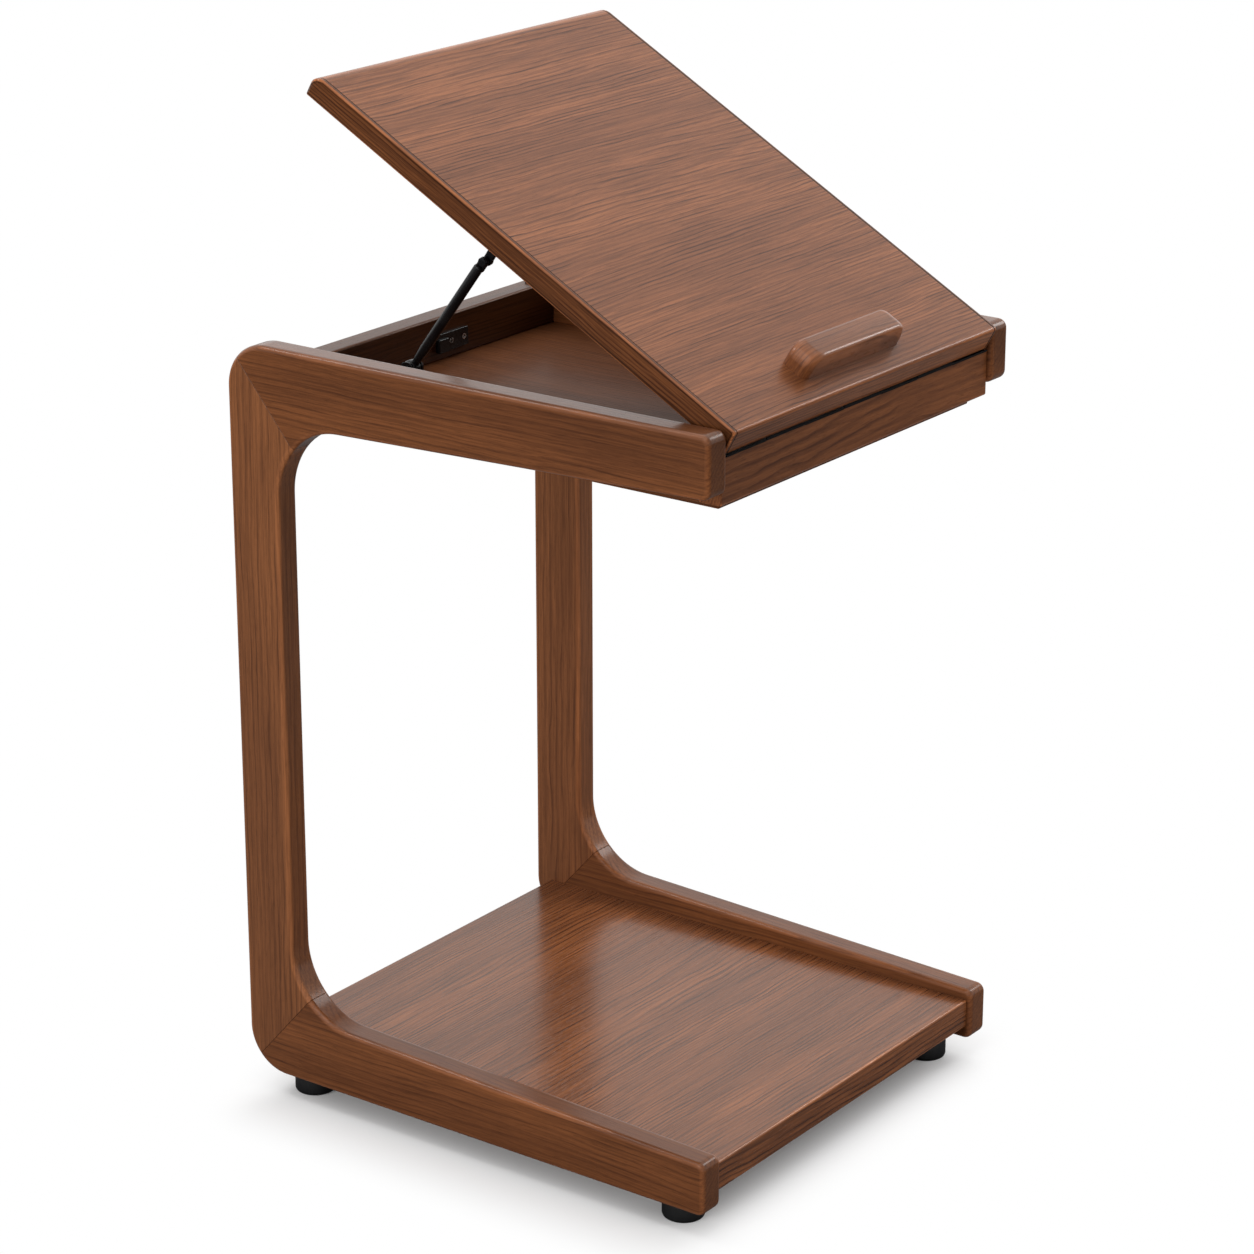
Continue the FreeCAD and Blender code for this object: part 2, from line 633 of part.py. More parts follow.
def headed_pin(x0, x1, pivot, heads):
    """Pin from x0 to x1 with a flat head outside each end that is listed."""
    pin = along_x(STAY_PIN_R, x0, x1, *pivot)
    for end in heads:
        start = x0 - STAY_HEAD_T if end == "first" else x1
        pin = pin.fuse(along_x(STAY_HEAD_R, start, start + STAY_HEAD_T, *pivot))
    return pin.removeSplitter()


def stay(x):
    """All pieces of the stay, with the lid's own pieces still in the closed pose."""
    reach = EYE_W / 2 + STAY_CLEAR + BRACKET_T
    link_x = x + ROD_R + STAY_CLEAR
    ear_end = link_x + TAB_T + STAY_CLEAR + BRACKET_T
    return {
        "stay_arm": stay_arm(x),
        "stay_link": stay_link(x),
        "stay_floor_bracket": floor_bracket(x),
        "stay_floor_pin": headed_pin(x - reach, x + reach, pivot_b, ("first", "last")),
        "stay_lid_bracket": lid_bracket(x),
        "stay_lid_pin": headed_pin(link_x, ear_end, pivot_l_closed, ("last",)),
    }


parts.update(stay(STAY_X))
floor_heads, lid_heads = [], []
screw_x = STAY_X + ROD_R + TAB_T + 2 * STAY_CLEAR + LID_SCREW_ACROSS
for shift in (-1, 1):
    floor_y = pivot_b[0] + shift * FLOOR_SCREW_SPREAD
    lid_y = pivot_l_closed[0] + shift * LID_SCREW_SPREAD
    floor_heads.append(Vector(STAY_X, floor_y, TRAY_BOTTOM + BRACKET_T))
    lid_heads.append(Vector(screw_x, lid_y, LID_UNDER - BRACKET_T))
floor_screw = LEAF_SCREW[:3] + (BRACKET_T + FLOOR_SCREW_DEPTH,)
floor_screws = drill(["stay_floor_bracket", "tray_floor"], floor_screw, floor_heads, DOWN)
lid_screws = drill(["stay_lid_bracket", "lid_panel"], LEAF_SCREW, lid_heads, UP)
parts["stay_floor_screws"] = Part.makeCompound(floor_screws)
parts["stay_lid_screws"] = Part.makeCompound(lid_screws)


# Magnetic catch on the inner face of the rail: a plate with a raised magnet block at its left end.
# The strike that meets the magnet hangs from the lid just in front of it.
catch_z1 = TRAY_TOP - CATCH_DROP
catch_z0 = catch_z1 - CATCH_H
plate_y = RAIL_FACE - CATCH_PLATE_T
magnet_y = RAIL_FACE - MAGNET_T
catch = box(CATCH_X, CATCH_X + CATCH_L, plate_y, RAIL_FACE, catch_z0, catch_z1)
magnet = box(CATCH_X, CATCH_X + MAGNET_L, magnet_y, RAIL_FACE, catch_z0, catch_z0 + MAGNET_H)
parts["catch"] = catch.fuse(magnet).removeSplitter()
catch_z = (catch_z0 + catch_z1) / 2
catch_heads = [Vector(CATCH_X + step, plate_y, catch_z) for step in CATCH_SCREWS]
catch_screws = drill(["catch", "back_rail"], LEAF_SCREW, catch_heads, Vector(0, 1, 0))
parts["catch_screws"] = Part.makeCompound(catch_screws)

strike_x = CATCH_X + MAGNET_L / 2
strike_y = magnet_y - STRIKE_GAP
x0, x1 = strike_x - STRIKE_W / 2, strike_x + STRIKE_W / 2
blade = box(x0, x1, strike_y - STRIKE_T, strike_y, catch_z0 + MAGNET_H / 2, LID_UNDER)
foot = box(x0, x1, strike_y - STRIKE_FOOT_L, strike_y, LID_UNDER - STRIKE_T, LID_UNDER)
parts["catch_strike"] = blade.fuse(foot).removeSplitter()
strike_heads = [Vector(strike_x, strike_y - STRIKE_SCREW_BACK, LID_UNDER - STRIKE_T)]
strike_screws = drill(["catch_strike", "lid_panel"], LEAF_SCREW, strike_heads, UP)
parts["strike_screw"] = Part.makeCompound(strike_screws)


# Everything on the lid turns to the open rest pose; the stay's arm and link are drawn there already
LID_PIECES = [
    "lid_panel", "lid_lipping_left", "lid_lipping_right", "book_stop", "book_stop_tenon",
    "hinge_lid_leaf", "hinge_lid_screws", "stay_lid_bracket", "stay_lid_pin", "stay_lid_screws",
    "catch_strike", "strike_screw",
]
for name in LID_PIECES:
    parts[name] = opened(parts[name])

os.makedirs("parts", exist_ok=True)
for name, shape in parts.items():
    shape.exportStep("parts/%s.step" % name)
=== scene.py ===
import json
import math

import bpy
import numpy as np
from mathutils import Matrix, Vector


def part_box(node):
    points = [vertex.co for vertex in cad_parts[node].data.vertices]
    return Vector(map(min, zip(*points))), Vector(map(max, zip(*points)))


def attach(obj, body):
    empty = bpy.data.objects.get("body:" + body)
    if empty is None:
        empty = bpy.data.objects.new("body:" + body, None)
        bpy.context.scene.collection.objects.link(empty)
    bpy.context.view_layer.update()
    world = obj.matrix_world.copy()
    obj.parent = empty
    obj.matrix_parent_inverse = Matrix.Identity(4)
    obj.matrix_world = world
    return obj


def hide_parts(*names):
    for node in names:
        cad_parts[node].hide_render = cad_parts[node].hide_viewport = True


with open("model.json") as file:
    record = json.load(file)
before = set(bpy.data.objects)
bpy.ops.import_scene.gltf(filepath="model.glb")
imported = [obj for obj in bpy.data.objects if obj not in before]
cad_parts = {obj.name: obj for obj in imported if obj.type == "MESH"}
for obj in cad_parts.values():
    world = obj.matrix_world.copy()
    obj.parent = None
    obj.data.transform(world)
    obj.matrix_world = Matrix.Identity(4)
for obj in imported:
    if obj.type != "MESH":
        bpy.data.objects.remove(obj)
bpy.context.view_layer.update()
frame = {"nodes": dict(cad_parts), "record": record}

# Sizes in millimetres, in the frame of the solids
MM = 0.001

# Side frames: planes of their sides, heights of their arms, radii of their corners and edges
HALF_WIDTH = 200.0
INNER_X = 177.0
FRONT = -221.5
REAR = 221.5
LEG_FRONT = 174.5
TOP = 620.0
UNDER = 20.0
TOP_ARM_REAR = 564.0
TOP_ARM_FRONT = 573.0
BOTTOM_ARM_REAR = 73.0
BOTTOM_ARM_FRONT = 63.0
OUTER_R = 36.0
INNER_R = 60.0
END_R = 7.0
EDGE_R = 4.0
MITRE_GROOVE = 0.3

# Boards of shelf and tray: radii along the grain, easing of their ends, heights of the tray
PANEL_R = 2.0
EASED_R = 0.8
END_EASE = 0.4
APRON_RADII = (2.0, 2.0, 0.8, 0.3)
TRAY_TOP = 599.0
TRAY_BOTTOM = 563.5

# Lid as it lies shut, its hinge axis, the degrees that it opens, and the marks of its lippings
HINGE_Y = -218.5
HINGE_Z = 600.0
LID_OPEN = 29.0
LID_FRONT = -216.9
LID_REAR = 212.5
LID_UNDER = 601.0
LID_HALF = 175.5
PANEL_HALF = 172.0
LID_REAR_R = 12.0
LID_FRONT_R = 2.5
LID_UNDER_R = 1.5
LID_TOE_R = 0.3
LID_CORNER_R = 5.0
LID_EDGE_R = 1.6
LEAF_BED_R = 0.1
LIPPING_GROOVE = 0.6
GROOVE_SHARE = 0.9
# Width of the painted dark line of shade on the lippings' outer faces
LINE_W = 1.0
# Gain of the painted highlight along the lippings' rounded edges
LIPPING_HIGHLIGHT = 4.0

# Book stop; its lower ring is at a share of its height
STOP_L = 130.0
STOP_W = 23.0
STOP_H = 19.0
STOP_FRONT = -196.9
STOP_SLOPE = 2.0
STOP_R = 3.5
STOP_END_R = 12.0
STOP_PLAN_R = 6.5
STOP_RING = 0.4

# Feet; the points of their edges are pairs of inset and height
FOOT_X = 171.0
FOOT_YS = (-183.5, 178.5)
FOOT_R = 16.5
FOOT_H = 20.0
FOOT_WELL_R = 6.0
FOOT_WELL_H = 11.0
FOOT_WELL_EDGE = 0.5
FOOT_EDGE = ((2.2, 0.0), (1.5, 0.2), (0.9, 0.6), (0.4, 1.3), (0.0, 2.4), (0.0, 3.2))
FOOT_SHOULDER = ((0.0, 1.2), (0.4, 0.4), (1.2, 0.0))

# Folding stay: pivots and elbow as (y, z) with the lid open, and the lid's pivot with the lid shut
STAY_X = -100.0
PIVOT_B = (123.0, 591.3)
ELBOW = (53.65, 683.53)
PIVOT_L = (26.37, 722.59)
PIVOT_L_SHUT = (55.1, 588.5)
STAY_CLEAR = 0.4
ROD_R = 3.9
ROD_START = 2.0
ROD_TIP = ((0.0, 0.0), (0.4, 1.2), (1.2, 2.2), (2.4, 2.8))
NECK_R = 2.9
NECK_L = 16.0
NECK_SWELL = ((0.0, 1.0), (0.3, 4.0))
EYE_R = 6.6
EYE_W = 8.0
EYE_EDGE = ((1.3, 0.0), (0.6, 0.4), (0.1, 1.2), (0.0, 1.9))
TAB_L = 6.0
TAB_R = 4.0
TAB_T = 4.0
TAB_EASE = 1.7
LINK_X = STAY_X + ROD_R + STAY_CLEAR
HEAD_R = 3.6
HEAD_T = 1.2
HEAD_EDGE = ((0.0, 0.0), (0.0, 0.6), (0.3, 0.85), (1.0, 1.0))
EAR_R = 6.0
EAR_TIP_R = 5.8
EAR_FOOT = 8.0
EAR_FOOT_R = 0.6
PLATE_T = 2.0
PLATE_R = 2.0
PLATE_EASE = 0.4
LID_PLATE_X = STAY_X + ROD_R + TAB_T + 2 * STAY_CLEAR
LID_PLATE_L = 36.0
LID_PLATE_W = 20.0

# Magnetic catch; the radii are those of the corners and of the eased edges
CATCH_T = 2.4
CATCH_RADII = (1.5, 0.5)
MAGNET_L = 12.0
MAGNET_H = 11.0
MAGNET_RADII = (1.0, 0.6)
MAGNET_BED = 0.4

# Continuous hinge, with radii as for the catch
HINGE_L = 349.0
LEAF_W = 14.0
LEAF_T = 0.7
LEAF_PROUD = 0.05
LEAF_RADII = (1.0, 0.1)
TONGUE_RADII = (0.2, 0.1)
TONGUE_LAP = 1.0
KNUCKLES = 7
KNUCKLE_GAP = 0.3
KNUCKLE_R = 0.5
KNUCKLE_EASE = 0.2

# Screws: shank radius, head radius, height of the cone and length of each kind, and their places
SMALL_SCREW = (1.1, 2.4, 1.4, 14.0)
SHORT_SCREW = (1.1, 2.4, 1.4, 6.5)
FOOT_SCREW = (2.2, 4.5, 2.6, 32.0)
CATCH_SCREWS = ((20.5, 181.1, 578.0), (36.5, 181.1, 578.0))
LEAF_SCREW_Y = -208.5
LEAF_SCREW_XS = (-134.4, 0.0, 134.4)
FLOOR_SCREW_SPREAD = 16.0
LID_SCREW_SPREAD = 10.8
LID_SCREW_ACROSS = 12.0

# Face of a screw head and its cross, in shares of the head's radius
FACE_SPAN = (0.03, 0.97)
FACE_RINGS = 12
FACE_EDGE = 0.04
CROSS_REACH = 0.62
CROSS_FADE = 0.15
CROSS_SIDE = 0.1
CROSS_WIDTH = 1.6
CROSS_DEPTH = 0.34

# Steps of the roundings, width of the flat strip beside them, smallest length, and limits of angles
ARC_STEPS = 6
BEND_STEPS = 14
ROUND_STEPS = 40
SCREW_STEPS = 48
RIM = 0.7
TINY = 0.04
SHARP_ANGLE = math.radians(28.0)
NEARLY_ALONG = 0.9

ZERO = (0.0, 0.0, 0.0)
AXES = {"X": (2, 0, 1), "Y": (0, 2, 1), "Z": (0, 1, 2)}
SIDES = (("left", -1), ("right", 1))
WHITE = (1.0, 1.0, 1.0, 1.0)


def unit(vector):
    """Vector of length one in the same direction."""
    return np.asarray(vector, float) / np.linalg.norm(vector)


def ring_faces(rows, cols):
    """Four-sided faces between rings: each joins two neighbours of a ring with those of the next."""
    row = np.arange(rows - 1)[:, None] * cols
    here = np.arange(cols)[None, :]
    after = (here + 1) % cols
    return np.stack([row + here, row + after, row + cols + after, row + cols + here], -1).reshape(-1, 4)


def shell(grid, edge=0.0, seam=0.0, zipped=False):
    """Closed skin over a stack of rings, with a flat face over the first and the last ring. A zipped
    last ring is closed by a strip of faces between its first half and its second half instead.
    The faces are turned round where the flow of (point - middle) through them is inwards."""
    rows, cols = grid.shape[:2]
    points = grid.reshape(-1, 3)
    sides = ring_faces(rows, cols)
    corners = points[sides] - points.mean(0)
    normal = np.cross(corners[:, 2] - corners[:, 0], corners[:, 3] - corners[:, 1])
    faces = sides.tolist()
    faces.append(list(range(cols))[::-1])
    last = np.arange((rows - 1) * cols, rows * cols)
    there, back = last[:cols // 2], last[:cols // 2 - 1:-1]
    strip = np.stack([there[:-1], there[1:], back[1:], back[:-1]], -1)
    faces += strip.tolist() if zipped else [last.tolist()]
    if (corners.mean(1) * normal).sum() < 0:
        faces = [face[::-1] for face in faces]
    marks = [np.broadcast_to(mark, (rows, cols)).reshape(-1) for mark in (edge, seam)]
    return points, faces, marks[0], marks[1]


def new_object(name, data):
    """Object around its data, put into the scene."""
    made = bpy.data.objects.new(name, data)
    bpy.context.scene.collection.objects.link(made)
    return made


def piece(finish, node, shells, material, body="table"):
    """One object from one or more closed skins, standing for a CAD node and riding on its body."""
    name = finish + "_" + node
    starts = np.cumsum([0] + [len(part[0]) for part in shells])
    corners = [[i + start for i in face] for part, start in zip(shells, starts) for face in part[1]]
    mesh = bpy.data.meshes.new(name)
    mesh.from_pydata((np.concatenate([part[0] for part in shells]) * MM).tolist(), [], corners)
    # Marks read by the walnut finish: edge paints a highlight along rounded edges, seam darkens joints and
    # one painted dark line on each lipping
    for mark, place in (("edge", 2), ("seam", 3)):
        values = np.concatenate([part[place] for part in shells]).astype(np.float32)
        mesh.attributes.new(mark, "FLOAT", "POINT").data.foreach_set("value", values)
    mesh.shade_smooth()
    mesh.set_sharp_from_angle(angle=SHARP_ANGLE)
    mesh.materials.append(material)
    made = new_object(name, mesh)
    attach(made, body)
    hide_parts(node)


def near_end(start, end):
    """Short step along a straight side, so that the flat beside a rounding keeps its own normal."""
    side = end - start
    length = np.maximum(np.linalg.norm(side, axis=-1, keepdims=True), TINY)
    return side * np.minimum(RIM / length, 1.0 / 3.0)


def joined(curves):
    """Curves one after another, with a point near both ends of each straight stretch between them."""
    rows = [curves[0]]
    for before, after in zip(curves, curves[1:]):
        step = near_end(before[-1], after[0])
        rows += [(before[-1] + step)[None], (after[0] - step)[None], after]
    return np.concatenate(rows)


def rounded_outline(corners, inset):
    """Closed outline of straight sides and round corners (a, b, radius), drawn in by each inset.
    Each corner gives the points c - reach * n about its centre c, while n turns from the inward
    normal of the side before to that of the side after; reach is the radius less the inset, or the
    radius and the inset at a hollow corner."""
    spots = np.array([corner[:2] for corner in corners], float)
    radius = np.array([corner[2] for corner in corners], float)
    side = spots - np.roll(spots, 1, 0)
    normal = np.stack([-side[:, 1], side[:, 0]], -1) / np.linalg.norm(side, axis=1)[:, None]
    following = np.roll(normal, -1, 0)
    cosine = (normal * following).sum(1)
    sign = np.sign(normal[:, 0] * following[:, 1] - normal[:, 1] * following[:, 0])
    sweep = np.arccos(np.clip(cosine, -1.0, 1.0))[:, None]
    step = np.linspace(0.0, 1.0, ARC_STEPS + 1)[None, :]
    share = np.sin((1.0 - step) * sweep) / np.sin(sweep), np.sin(step * sweep) / np.sin(sweep)
    turn = share[0][..., None] * normal[:, None] + share[1][..., None] * following[:, None]
    middle = ((normal + following) / (1.0 + cosine)[:, None])[None, :, None]
    inset = np.asarray(inset, float)[:, None]
    reach = np.where(sign > 0, np.maximum(radius - inset, TINY), radius + inset)
    shift = (inset + sign * reach)[..., None, None]
    arcs = spots[None, :, None] + shift * middle - (sign * reach)[..., None, None] * turn[None]
    nearby = near_end(arcs[:, :, -1], np.roll(arcs[:, :, 0], -1, 1))
    before = np.roll(arcs[:, :, 0], -1, 1) - nearby
    points = [np.roll(before, 1, 1)[:, :, None], arcs, (arcs[:, :, -1] + nearby)[:, :, None]]
    return np.concatenate(points, 2).reshape(len(inset), -1, 2)


def eased_ends(low, high, ease_low, ease_high):
    """Inset, level and edge mark of the rings of a board whose end edges are quarter circles. The edge mark
    paints a highlight on these roundings.
    """
    turn = np.linspace(0.0, np.pi / 2, ARC_STEPS + 1)
    down, up = 1.0 - np.sin(turn), 1.0 - np.cos(turn)
    rim = min(RIM, (high - low - ease_low - ease_high) / 3.0)
    inset = np.concatenate([[ease_low + rim], ease_low * down, [0, 0],
                            ease_high * down[::-1], [ease_high + rim]])
    level = np.concatenate([[low], low + ease_low * up, [low + ease_low + rim, high - ease_high - rim],
                            high - ease_high * up[::-1], [high]])
    edge = np.concatenate([[0], np.sin(2 * turn), [0, 0], np.sin(2 * turn[::-1]), [0]])
    return inset, level, edge


def corner_marks(count):
    """Edge mark of the points of an outline, which paints a highlight on the roundings: sin of twice the
    share of a right angle on each corner.
    """
    rounding = np.sin(np.linspace(0.0, np.pi, ARC_STEPS + 1))
    return np.tile(np.concatenate([[0.0], rounding, [0.0]]), count)


def pillow(corners, axis, low, high, ease_low=EASED_R, ease_high=EASED_R):
    """Rounded outline carried along an axis; it draws in along a quarter circle at each end."""
    inset, level, edge = eased_ends(low, high, ease_low, ease_high)
    outline = rounded_outline(corners, inset)
    levels = np.broadcast_to(level[:, None, None], outline.shape[:2] + (1,))
    grid = np.concatenate([outline, levels], -1)[..., AXES[axis]]
    return grid, np.maximum(edge[:, None], corner_marks(len(corners))[None])


def tilted(points):
    """Points of the shut lid turned about the hinge to the open rest pose."""
    c, s = math.cos(math.radians(LID_OPEN)), math.sin(math.radians(LID_OPEN))
    y, z = points[..., 1] - HINGE_Y, points[..., 2] - HINGE_Z
    return np.stack([points[..., 0], HINGE_Y + y * c - z * s, HINGE_Z + y * s + z * c], -1)


def cross_axes(axis):
    """Two unit vectors at right angles to a unit axis and to each other."""
    helper = np.array([1.0, 0.0, 0.0]) if abs(axis[0]) < NEARLY_ALONG else np.array([0.0, 1.0, 0.0])
    across = unit(np.cross(axis, helper))
    return across, np.cross(axis, across)


def lathe(profile, base, axis):
    """Profile of (radius, height) points turned about an axis that starts at the base point."""
    axis = unit(axis)
    across, beside = cross_axes(axis)
    around = np.linspace(0.0, 2 * np.pi, ROUND_STEPS, endpoint=False)
    wheel = np.cos(around)[:, None] * across + np.sin(around)[:, None] * beside
    radius, height = np.array(profile, float).T
    return np.asarray(base, float) + height[:, None, None] * axis + radius[:, None, None] * wheel[None]


# Side frames: each piece runs between an outer and an inner curve from mitre to mitre or to its end

def mitre_turn(centre, reach, corner, along):
    """Angle about the centre where the mitre line corner + k * along first meets each circle."""
    gap = corner - centre
    slope = gap @ along
    k = -slope - np.sqrt(slope ** 2 - gap @ gap + reach ** 2)
    away = corner + k[:, None] * along - centre
    return np.arctan2(away[:, 1], away[:, 0])


def bend(centre, reach, start, end, steps):
    """Arc points centre + reach * (cos, sin) with the angle running evenly from start to end."""
    share = np.linspace(0.0, 1.0, steps + 1)[:, None]
    angle = start + (end - start) * share
    return centre + (reach * np.stack([np.cos(angle), np.sin(angle)], 0)).transpose(1, 2, 0)


def frame_corner(outer_z, inner_rear, inner_front):
    """Corner of the C seen with the arm's outer side up: mitre line, arc centres and arm normals."""
    outer = np.array([REAR, outer_z])
    inner = np.array([LEG_FRONT, inner_rear])
    along = unit(inner - outer)
    line = unit([FRONT - LEG_FRONT, inner_front - inner_rear])
    normal = np.array([line[1], -line[0]])
    drop = (INNER_R + INNER_R * normal[0]) / normal[1]
    hollow = np.array([LEG_FRONT - INNER_R, inner_rear - drop])
    return {
        "outer": outer, "along": along, "arm_side": np.array([along[1], -along[0]]),
        "round": outer - OUTER_R, "hollow": hollow,
        "normal": normal, "arm_angle": math.atan2(normal[1], normal[0]),
    }


# The bottom corner is upside down, so that the outer side of each arm is up
TOP_CORNER = frame_corner(TOP, TOP_ARM_REAR, TOP_ARM_FRONT)
BOTTOM_CORNER = frame_corner(-UNDER, -BOTTOM_ARM_REAR, -BOTTOM_ARM_FRONT)
UPSIDE_DOWN = np.array([1.0, -1.0])


def corner_half(corner, inset, half, setback):
    """Outer and inner arc of a corner, drawn in by the inset: from the leg to the mitre, or from the
    mitre to the arm."""
    shift = setback if half == "arm" else -setback
    start = corner["outer"] + corner["arm_side"] * shift
    arcs = ("round", OUTER_R - inset, np.pi / 2), ("hollow", INNER_R + inset, corner["arm_angle"])
    curves = []
    for centre, reach, end in arcs:
        mitre = mitre_turn(corner[centre], reach, start, corner["along"])
        first, last = (0.0 * mitre, mitre) if half == "leg" else (mitre, 0.0 * mitre + end)
        curves.append(bend(corner[centre], reach, first, last, BEND_STEPS))
    return curves


def section_columns(setback):
    """Inset, x and edge mark of the columns across a side of a frame piece, from its left to its right."""
    inset, level, edge = eased_ends(-HALF_WIDTH, -INNER_X, EDGE_R, EDGE_R)
    middle = -(HALF_WIDTH + INNER_X) / 2
    drawn = np.clip(level - middle, -1.0, 1.0) * setback
    return inset + setback, level - drawn, edge


def leg_curves(setback, groove):
    """Outer and inner curve of the leg for every column: bottom arc, straight side, top arc."""
    inset = section_columns(groove)[0]
    upper = corner_half(TOP_CORNER, inset, "leg", setback)
    lower = corner_half(BOTTOM_CORNER, inset, "leg", setback)
    return [joined([low[::-1] * UPSIDE_DOWN, high]) for low, high in zip(lower, upper)]


def arm_curves(corner, outer_z, inner_front, setback, groove):
    """Outer and inner curve of an arm for every column: mitred arc, straight side, round end corner."""
    inset = section_columns(groove)[0]
    outer, inner = corner_half(corner, inset, "arm", setback)
    reach = END_R - inset
    high = np.array([FRONT + END_R, outer_z - END_R])
    normal = corner["normal"]
    low = np.array([FRONT + END_R, inner_front + (END_R - END_R * normal[0]) / normal[1]])
    facing = 0.0 * inset
    outer_end = bend(high, reach, facing + np.pi / 2, facing + np.pi, ARC_STEPS)
    inner_end = bend(low, reach, facing + corner["arm_angle"] - np.pi, facing - np.pi, ARC_STEPS)
    outer_face = np.stack([FRONT + inset, facing + high[1] - RIM], -1)[None]
    inner_face = np.stack([FRONT + inset, facing + low[1] + RIM], -1)[None]
    outer, inner = joined([outer, outer_end]), joined([inner, inner_end])
    return [np.concatenate([outer, outer_face]), np.concatenate([inner, inner_face])]


def frame_grid(curves, groove):
    """Rings round a frame piece: outer columns from left to right, then inner columns back again."""
    level = section_columns(groove)[1]
    outer, inner = curves
    x = np.concatenate([level, level[::-1]])
    yz = np.concatenate([outer, inner[:, ::-1]], 1)
    return np.concatenate([np.broadcast_to(x[None, :, None], yz.shape[:2] + (1,)), yz], -1)


def grooved_rings(curves, *shape):
    """Rings of a frame piece set back at its mitres, and its full rings drawn in by the groove."""
    cases = ((MITRE_GROOVE, 0.0), (0.0, MITRE_GROOVE))
    return [frame_grid(curves(*shape, setback, groove), groove) for setback, groove in cases]


def frame_shell(full, drawn, mitres, side, up):
    """Frame piece that starts at a mitre; a leg, with two mitres, also ends at one, and an arm at its
    front. The outermost ring at each mitre is drawn in, which leaves a fine groove."""
    rings = [drawn[:1], full, drawn[-1:]][:mitres + 1]
    grid = np.concatenate(rings) * np.array([-side, 1.0, up])
    seam = np.zeros(grid.shape[:2])
    seam[[0, -1][:mitres]] = 1.0
    edge = section_columns(0.0)[2]
    return shell(grid, np.concatenate([edge, edge[::-1]])[None], seam, mitres == 1)


def side_frame_pieces(materials):
    """Leg and two arms of both side frames; the right ones are the left ones in a mirror."""
    leg = grooved_rings(leg_curves)
    top_arm = grooved_rings(arm_curves, TOP_CORNER, TOP, TOP_ARM_FRONT)
    bottom_arm = grooved_rings(arm_curves, BOTTOM_CORNER, -UNDER, -BOTTOM_ARM_FRONT)
    for hand, side in SIDES:
        kinds = (
            ("leg", leg, 2, 1.0, "upright_" + hand),
            ("top_arm", top_arm, 1, 1.0, "top_arm"),
            ("bottom_arm", bottom_arm, 1, -1.0, "bottom_arm"),
        )
        for name, rings, mitres, up, finish in kinds:
            skin = frame_shell(*rings, mitres, side, up)
            piece("walnut", hand + "_" + name, [skin], materials[finish])


# Shelf, battens and tray: boards with eased edges, in the boxes of their solids

def node_box(node):
    """Lowest and highest corner of a solid at rest, in millimetres."""
    return [np.array(corner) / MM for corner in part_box(node)]


def flat_plate(axis, low, high, corner_r, ease):
    """Plate with rounded corners seen along an axis, from two opposite corner points. The corners
    have one radius, or one each, from the lowest round to the last."""
    along = "XYZ".index(axis)
    a, b = [place for place in range(3) if place != along]
    radius = np.broadcast_to(corner_r, 4)
    spots = [(low[a], low[b]), (high[a], low[b]), (high[a], high[b]), (low[a], high[b])]
    corners = [spot + (reach,) for spot, reach in zip(spots, radius)]
    return pillow(corners, axis, low[along], high[along], ease, ease)


def board(node, axis, radius, material, rise=0.0):
    """Rounded rectangle of the node's box carried along its grain axis, its top raised if need be."""
    low, high = node_box(node)
    high[2] += rise
    plate = flat_plate(axis, low, high, radius, END_EASE)
    piece("walnut", node, [shell(*plate)], material)


def table_boards(materials):
    """Boards of shelf and tray; the hinge leaf is let into the top of the apron."""
    board("shelf", "X", PANEL_R, materials["shelf"])
    board("back_rail", "X", PANEL_R, materials["tray"])
    board("front_apron", "X", APRON_RADII, materials["crosswise"], LEAF_T - LEAF_PROUD)
    for node in ("front_batten", "rear_batten"):
        board(node, "X", EASED_R, materials["crosswise"])
    for node in ("tray_side_left", "tray_side_right"):
        board(node, "Y", EASED_R, materials["top_arm"])
    board("tray_floor", "Y", EASED_R, materials["tray_floor"])


# Lid: panel, lippings and book stop, worked out shut and turned open

LID_OUTLINE = [
    (LID_FRONT, LID_UNDER - LEAF_T + LEAF_PROUD, LID_TOE_R),
    (LID_FRONT + LEAF_W, LID_UNDER - LEAF_T + LEAF_PROUD, LEAF_BED_R),
    (LID_FRONT + LEAF_W, LID_UNDER, LEAF_BED_R),
    (LID_REAR, LID_UNDER, LID_UNDER_R),
    (LID_REAR, TOP, LID_REAR_R),
    (LID_FRONT, TOP, LID_FRONT_R),
]


def groove_mark(grid):
    """One on the rings that ease into the groove between panel and lipping, zero elsewhere."""
    return (np.abs(np.abs(grid[..., 0]) - PANEL_HALF) < GROOVE_SHARE * LIPPING_GROOVE) * 1.0


def lid_panel(material):
    """Panel between the lippings, eased into the groove beside each of them."""
    grid, edge = pillow(LID_OUTLINE, "X", -PANEL_HALF, PANEL_HALF, LIPPING_GROOVE, LIPPING_GROOVE)
    seam = groove_mark(grid)
    skin = shell(tilted(grid), edge * (1.0 - seam), seam)
    piece("walnut", "lid_panel", [skin], material, "lid")


